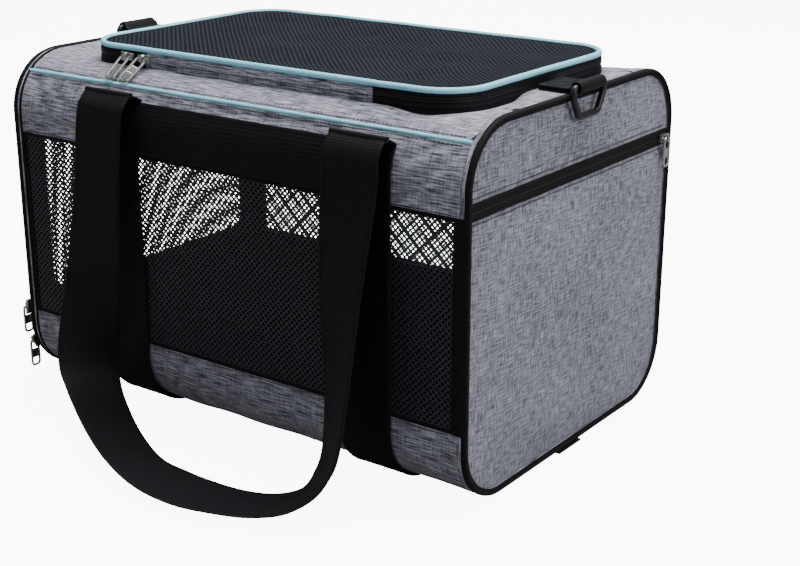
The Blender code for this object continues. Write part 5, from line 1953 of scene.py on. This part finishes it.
@dataclass
class ZipSlider:
    """A die-cast slider with its bridge, and the stamped pull that hangs from it."""

    name: str
    out: Vector
    hang: Vector
    run: Vector
    half_length: float = 6.0 * MM
    half_width: float = 3.5 * MM
    base: float = 2.4 * MM
    rise: float = 3.2 * MM
    pull_half: float = 3.8 * MM
    pull_length: float = 24 * MM
    wire: float = 1.0 * MM

    def build(self) -> None:
        """Make the slider and its pull."""
        pin = Vector(next(j for j in frame["joints"] if j["name"] == f"{self.name}_pull_lift")["pos_m"])
        place = pin - self.out * (self.base + self.rise - 0.8 * MM - self.wire - 0.1 * MM)
        self.slider(place)
        self.pull(pin)

    def slider(self, place: Vector) -> None:
        """The slider: two waisted plates with a gap for the tape, and a bridge over them."""
        across = self.run.cross(self.out)
        turn = Matrix((self.run, across, self.run.cross(across))).transposed().to_4x4()
        flip = 1 if self.run.cross(across).dot(self.out) > 0 else -1
        bm = bmesh.new()
        for low, high, wide in ((0.0, 0.9 * MM, 0.92), (1.3 * MM, self.base, 1.0)):
            plate = bmesh.ops.create_cube(bm, size=1.0)["verts"]
            bmesh.ops.scale(bm, vec=(2 * self.half_length, 2 * self.half_width * wide, high - low), verts=plate)
            bmesh.ops.translate(bm, vec=(0, 0, flip * (low + high) / 2), verts=plate)
            edges = {e for v in plate for e in v.link_edges}
            bmesh.ops.bevel(bm, geom=list(edges), affect="EDGES", offset=0.35 * MM, segments=2, profile=0.5, material=-1)
        for vert in bm.verts:
            waist = 1 - 0.26 * ease(vert.co.x + 1 * MM, 7 * MM)
            vert.co.y *= waist
        post = bmesh.ops.create_cube(bm, size=1.0)["verts"]
        bmesh.ops.scale(bm, vec=(1.4 * MM, 1.6 * MM, 1.4 * MM), verts=post)
        bmesh.ops.translate(bm, vec=(4.6 * MM, 0, flip * 1.1 * MM), verts=post)
        bmesh.ops.transform(bm, matrix=Matrix.Translation(place) @ turn, verts=bm.verts)
        down = (self.hang - self.out * self.hang.dot(self.out)).normalized()
        side = down.cross(self.out)
        arch = [(-3.3, 1.8), (-3.3, 4.2), (-2.9, 5.0), (-2.2, 5.4), (-1.0, 5.55), (1.0, 5.55), (2.2, 5.4), (2.9, 5.0),
                (3.3, 4.2), (3.3, 1.8)]
        curve = smooth_line([(s, n, 0.0) for s, n in arch], 28)
        path = [place + down * (s * MM * 0.88) + self.out * ((n - 0.35) * MM) for s, n, _ in curve]
        merge_into(bm, sweep(strap_stations(path, side), strap_section(1.3 * MM, 0.8 * MM, 3)))
        add_piece(f"{self.name}_cast_slider", bm, NICKEL, self.name, [f"{self.name}_slider"], smooth=40)

    def pull(self, pin: Vector) -> None:
        """The pull: a stamped frame with a slot at the slider and a round-ended grip."""
        hang = self.hang.normalized()
        down = (hang - self.out * hang.dot(self.out)).normalized()
        across = down.cross(self.out)
        normal = hang.cross(across)
        length = self.pull_length - 2 * self.wire
        loop = RoundedLoop(Vector((-self.pull_half, 0.0)), Vector((self.pull_half, length)), 2.6 * MM)
        stations = [Station(pin + across * p.x + hang * p.y, across * n.x + hang * n.y, normal)
                    for p, n in loop.walk(72)]
        flat = [(self.wire * c, self.wire * s * 0.85) for c, s in
                [(1, -0.4), (1, 0.4), (0.6, 1), (-0.6, 1), (-1, 0.4), (-1, -0.4), (-0.6, -1), (0.6, -1)]]
        bm = sweep(stations, flat, True)
        for s in (0.40, 0.66):
            ends = [Station(pin + across * w + hang * (length * s), hang, normal)
                    for w in (-self.pull_half, 0, self.pull_half)]
            merge_into(bm, sweep(ends, strap_section(1.0 * MM, 1.1 * MM, 2)))
        plate = [Station(pin + across * w + hang * (length * 0.53), hang, normal)
                 for w in (-self.pull_half + 0.6 * MM, 0, self.pull_half - 0.6 * MM)]
        merge_into(bm, sweep(plate, strap_section(length * 0.14, 0.7 * MM, 4)))
        add_piece(f"{self.name}_stamped_pull", bm, NICKEL, f"{self.name}_pull",
                  [f"{self.name}_pull_loop"], smooth=40)


def zip_sliders() -> list[ZipSlider]:
    """The carrier's five sliders."""
    turn = math.radians(25)
    return [
        ZipSlider("lid_zip_left", -Y_AXIS, Vector((-0.06, -0.78, -0.62)), X_AXIS),
        ZipSlider("lid_zip_right", -Y_AXIS, Vector((-0.20, -0.76, -0.62)), -X_AXIS),
        ZipSlider("door_zip_upper", -X_AXIS, -Z_AXIS, Z_AXIS),
        ZipSlider("door_zip_lower", -X_AXIS, -Z_AXIS, Vector((0, math.sin(turn), -math.cos(turn)))),
        ZipSlider("pocket_zip", X_AXIS, -Z_AXIS, Y_AXIS),
    ]


@dataclass
class Studio:
    """A flat white paper floor, soft lights and the camera."""

    eye: Vector = Vector((0.6950, -0.8715, 0.4668))
    turn: float = math.radians(36.15)
    tilt: float = math.radians(18.90)
    roll: float = math.radians(0.05)
    lens: float = 65.70

    def build(self) -> None:
        """Make the paper, the lights and the camera."""
        self.paper()
        self.lights()
        self.camera()

    def paper(self) -> None:
        """The floor, a flat sheet of paper under the carrier."""
        def place(u: float, v: float) -> Vector:
            x, y = 16 * (u - 0.5), 16 * (v - 0.5)
            return Vector((x, y, -0.0002))

        bm = grid(24, 24, place, lambda u, v: (16 * u, 16 * v), Z_AXIS)
        mesh = bpy.data.meshes.new("studio_paper")
        bm.to_mesh(mesh)
        bm.free()
        paper = bpy.data.objects.new("studio_paper", mesh)
        bpy.context.scene.collection.objects.link(paper)
        mesh.materials.append(StudioPaper("white studio paper").material())
        mesh.shade_smooth()

    def lights(self) -> None:
        """A broad overhead bank, a key from the front left and a fill from the right."""
        world = bpy.data.worlds.new("studio")
        world.use_nodes = True
        background = world.node_tree.nodes["Background"]
        background.inputs["Color"].default_value = (1.0, 1.0, 1.0, 1.0)
        background.inputs["Strength"].default_value = 0.24
        bpy.context.scene.world = world
        banks = (("overhead", (0.1, 0.3, 1.9), (0.0, 0.0, 0.1), 1.6, 70.0),
                 ("front", (-0.5, -1.7, 1.3), (0.0, -0.05, 0.12), 1.2, 3.0),
                 ("side", (1.9, -0.1, 0.9), (0.1, 0.0, 0.12), 1.2, 17.0))
        for name, place, aim, size, power in banks:
            data = bpy.data.lights.new(name, "AREA")
            data.size, data.energy = size, power
            lamp = bpy.data.objects.new(name, data)
            lamp.location = place
            lamp.rotation_euler = (Vector(aim) - Vector(place)).to_track_quat("-Z", "Y").to_euler()
            bpy.context.scene.collection.objects.link(lamp)

    def camera(self) -> None:
        """The camera, level but for a slight roll."""
        back = Vector((math.sin(self.turn) * math.cos(self.tilt), -math.cos(self.turn) * math.cos(self.tilt),
                       math.sin(self.tilt)))
        right = Z_AXIS.cross(back).normalized()
        up = back.cross(right)
        frame_turn = Matrix((right, up, back)).transposed() @ Matrix.Rotation(self.roll, 3, "Z")
        data = bpy.data.cameras.new("camera")
        data.sensor_width, data.lens = 36.0, self.lens
        camera = bpy.data.objects.new("camera", data)
        camera.matrix_world = Matrix.Translation(self.eye) @ frame_turn.to_4x4()
        bpy.context.scene.collection.objects.link(camera)
        bpy.context.scene.camera = camera


def main() -> None:
    """Build the carrier and the studio."""
    logging.basicConfig(level=logging.INFO, format="%(message)s")
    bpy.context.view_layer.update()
    Studio().build()
    shell = Shell.from_frame()
    top = Top(shell)
    for part in (Cabin(shell), LongSide(shell, Side.NEAR), LongSide(shell, Side.FAR), top, Lid(top),
                 PocketEnd(shell), DoorEnd(shell), Door(shell), SlingStraps(shell), CarryHandle(Side.NEAR),
                 CarryHandle(Side.FAR), RingAndTab(End.POCKET), RingAndTab(End.DOOR), *zip_sliders()):
        part.build()
        log.info("finished %s", type(part).__name__)


if __name__ == "__main__":
    main()
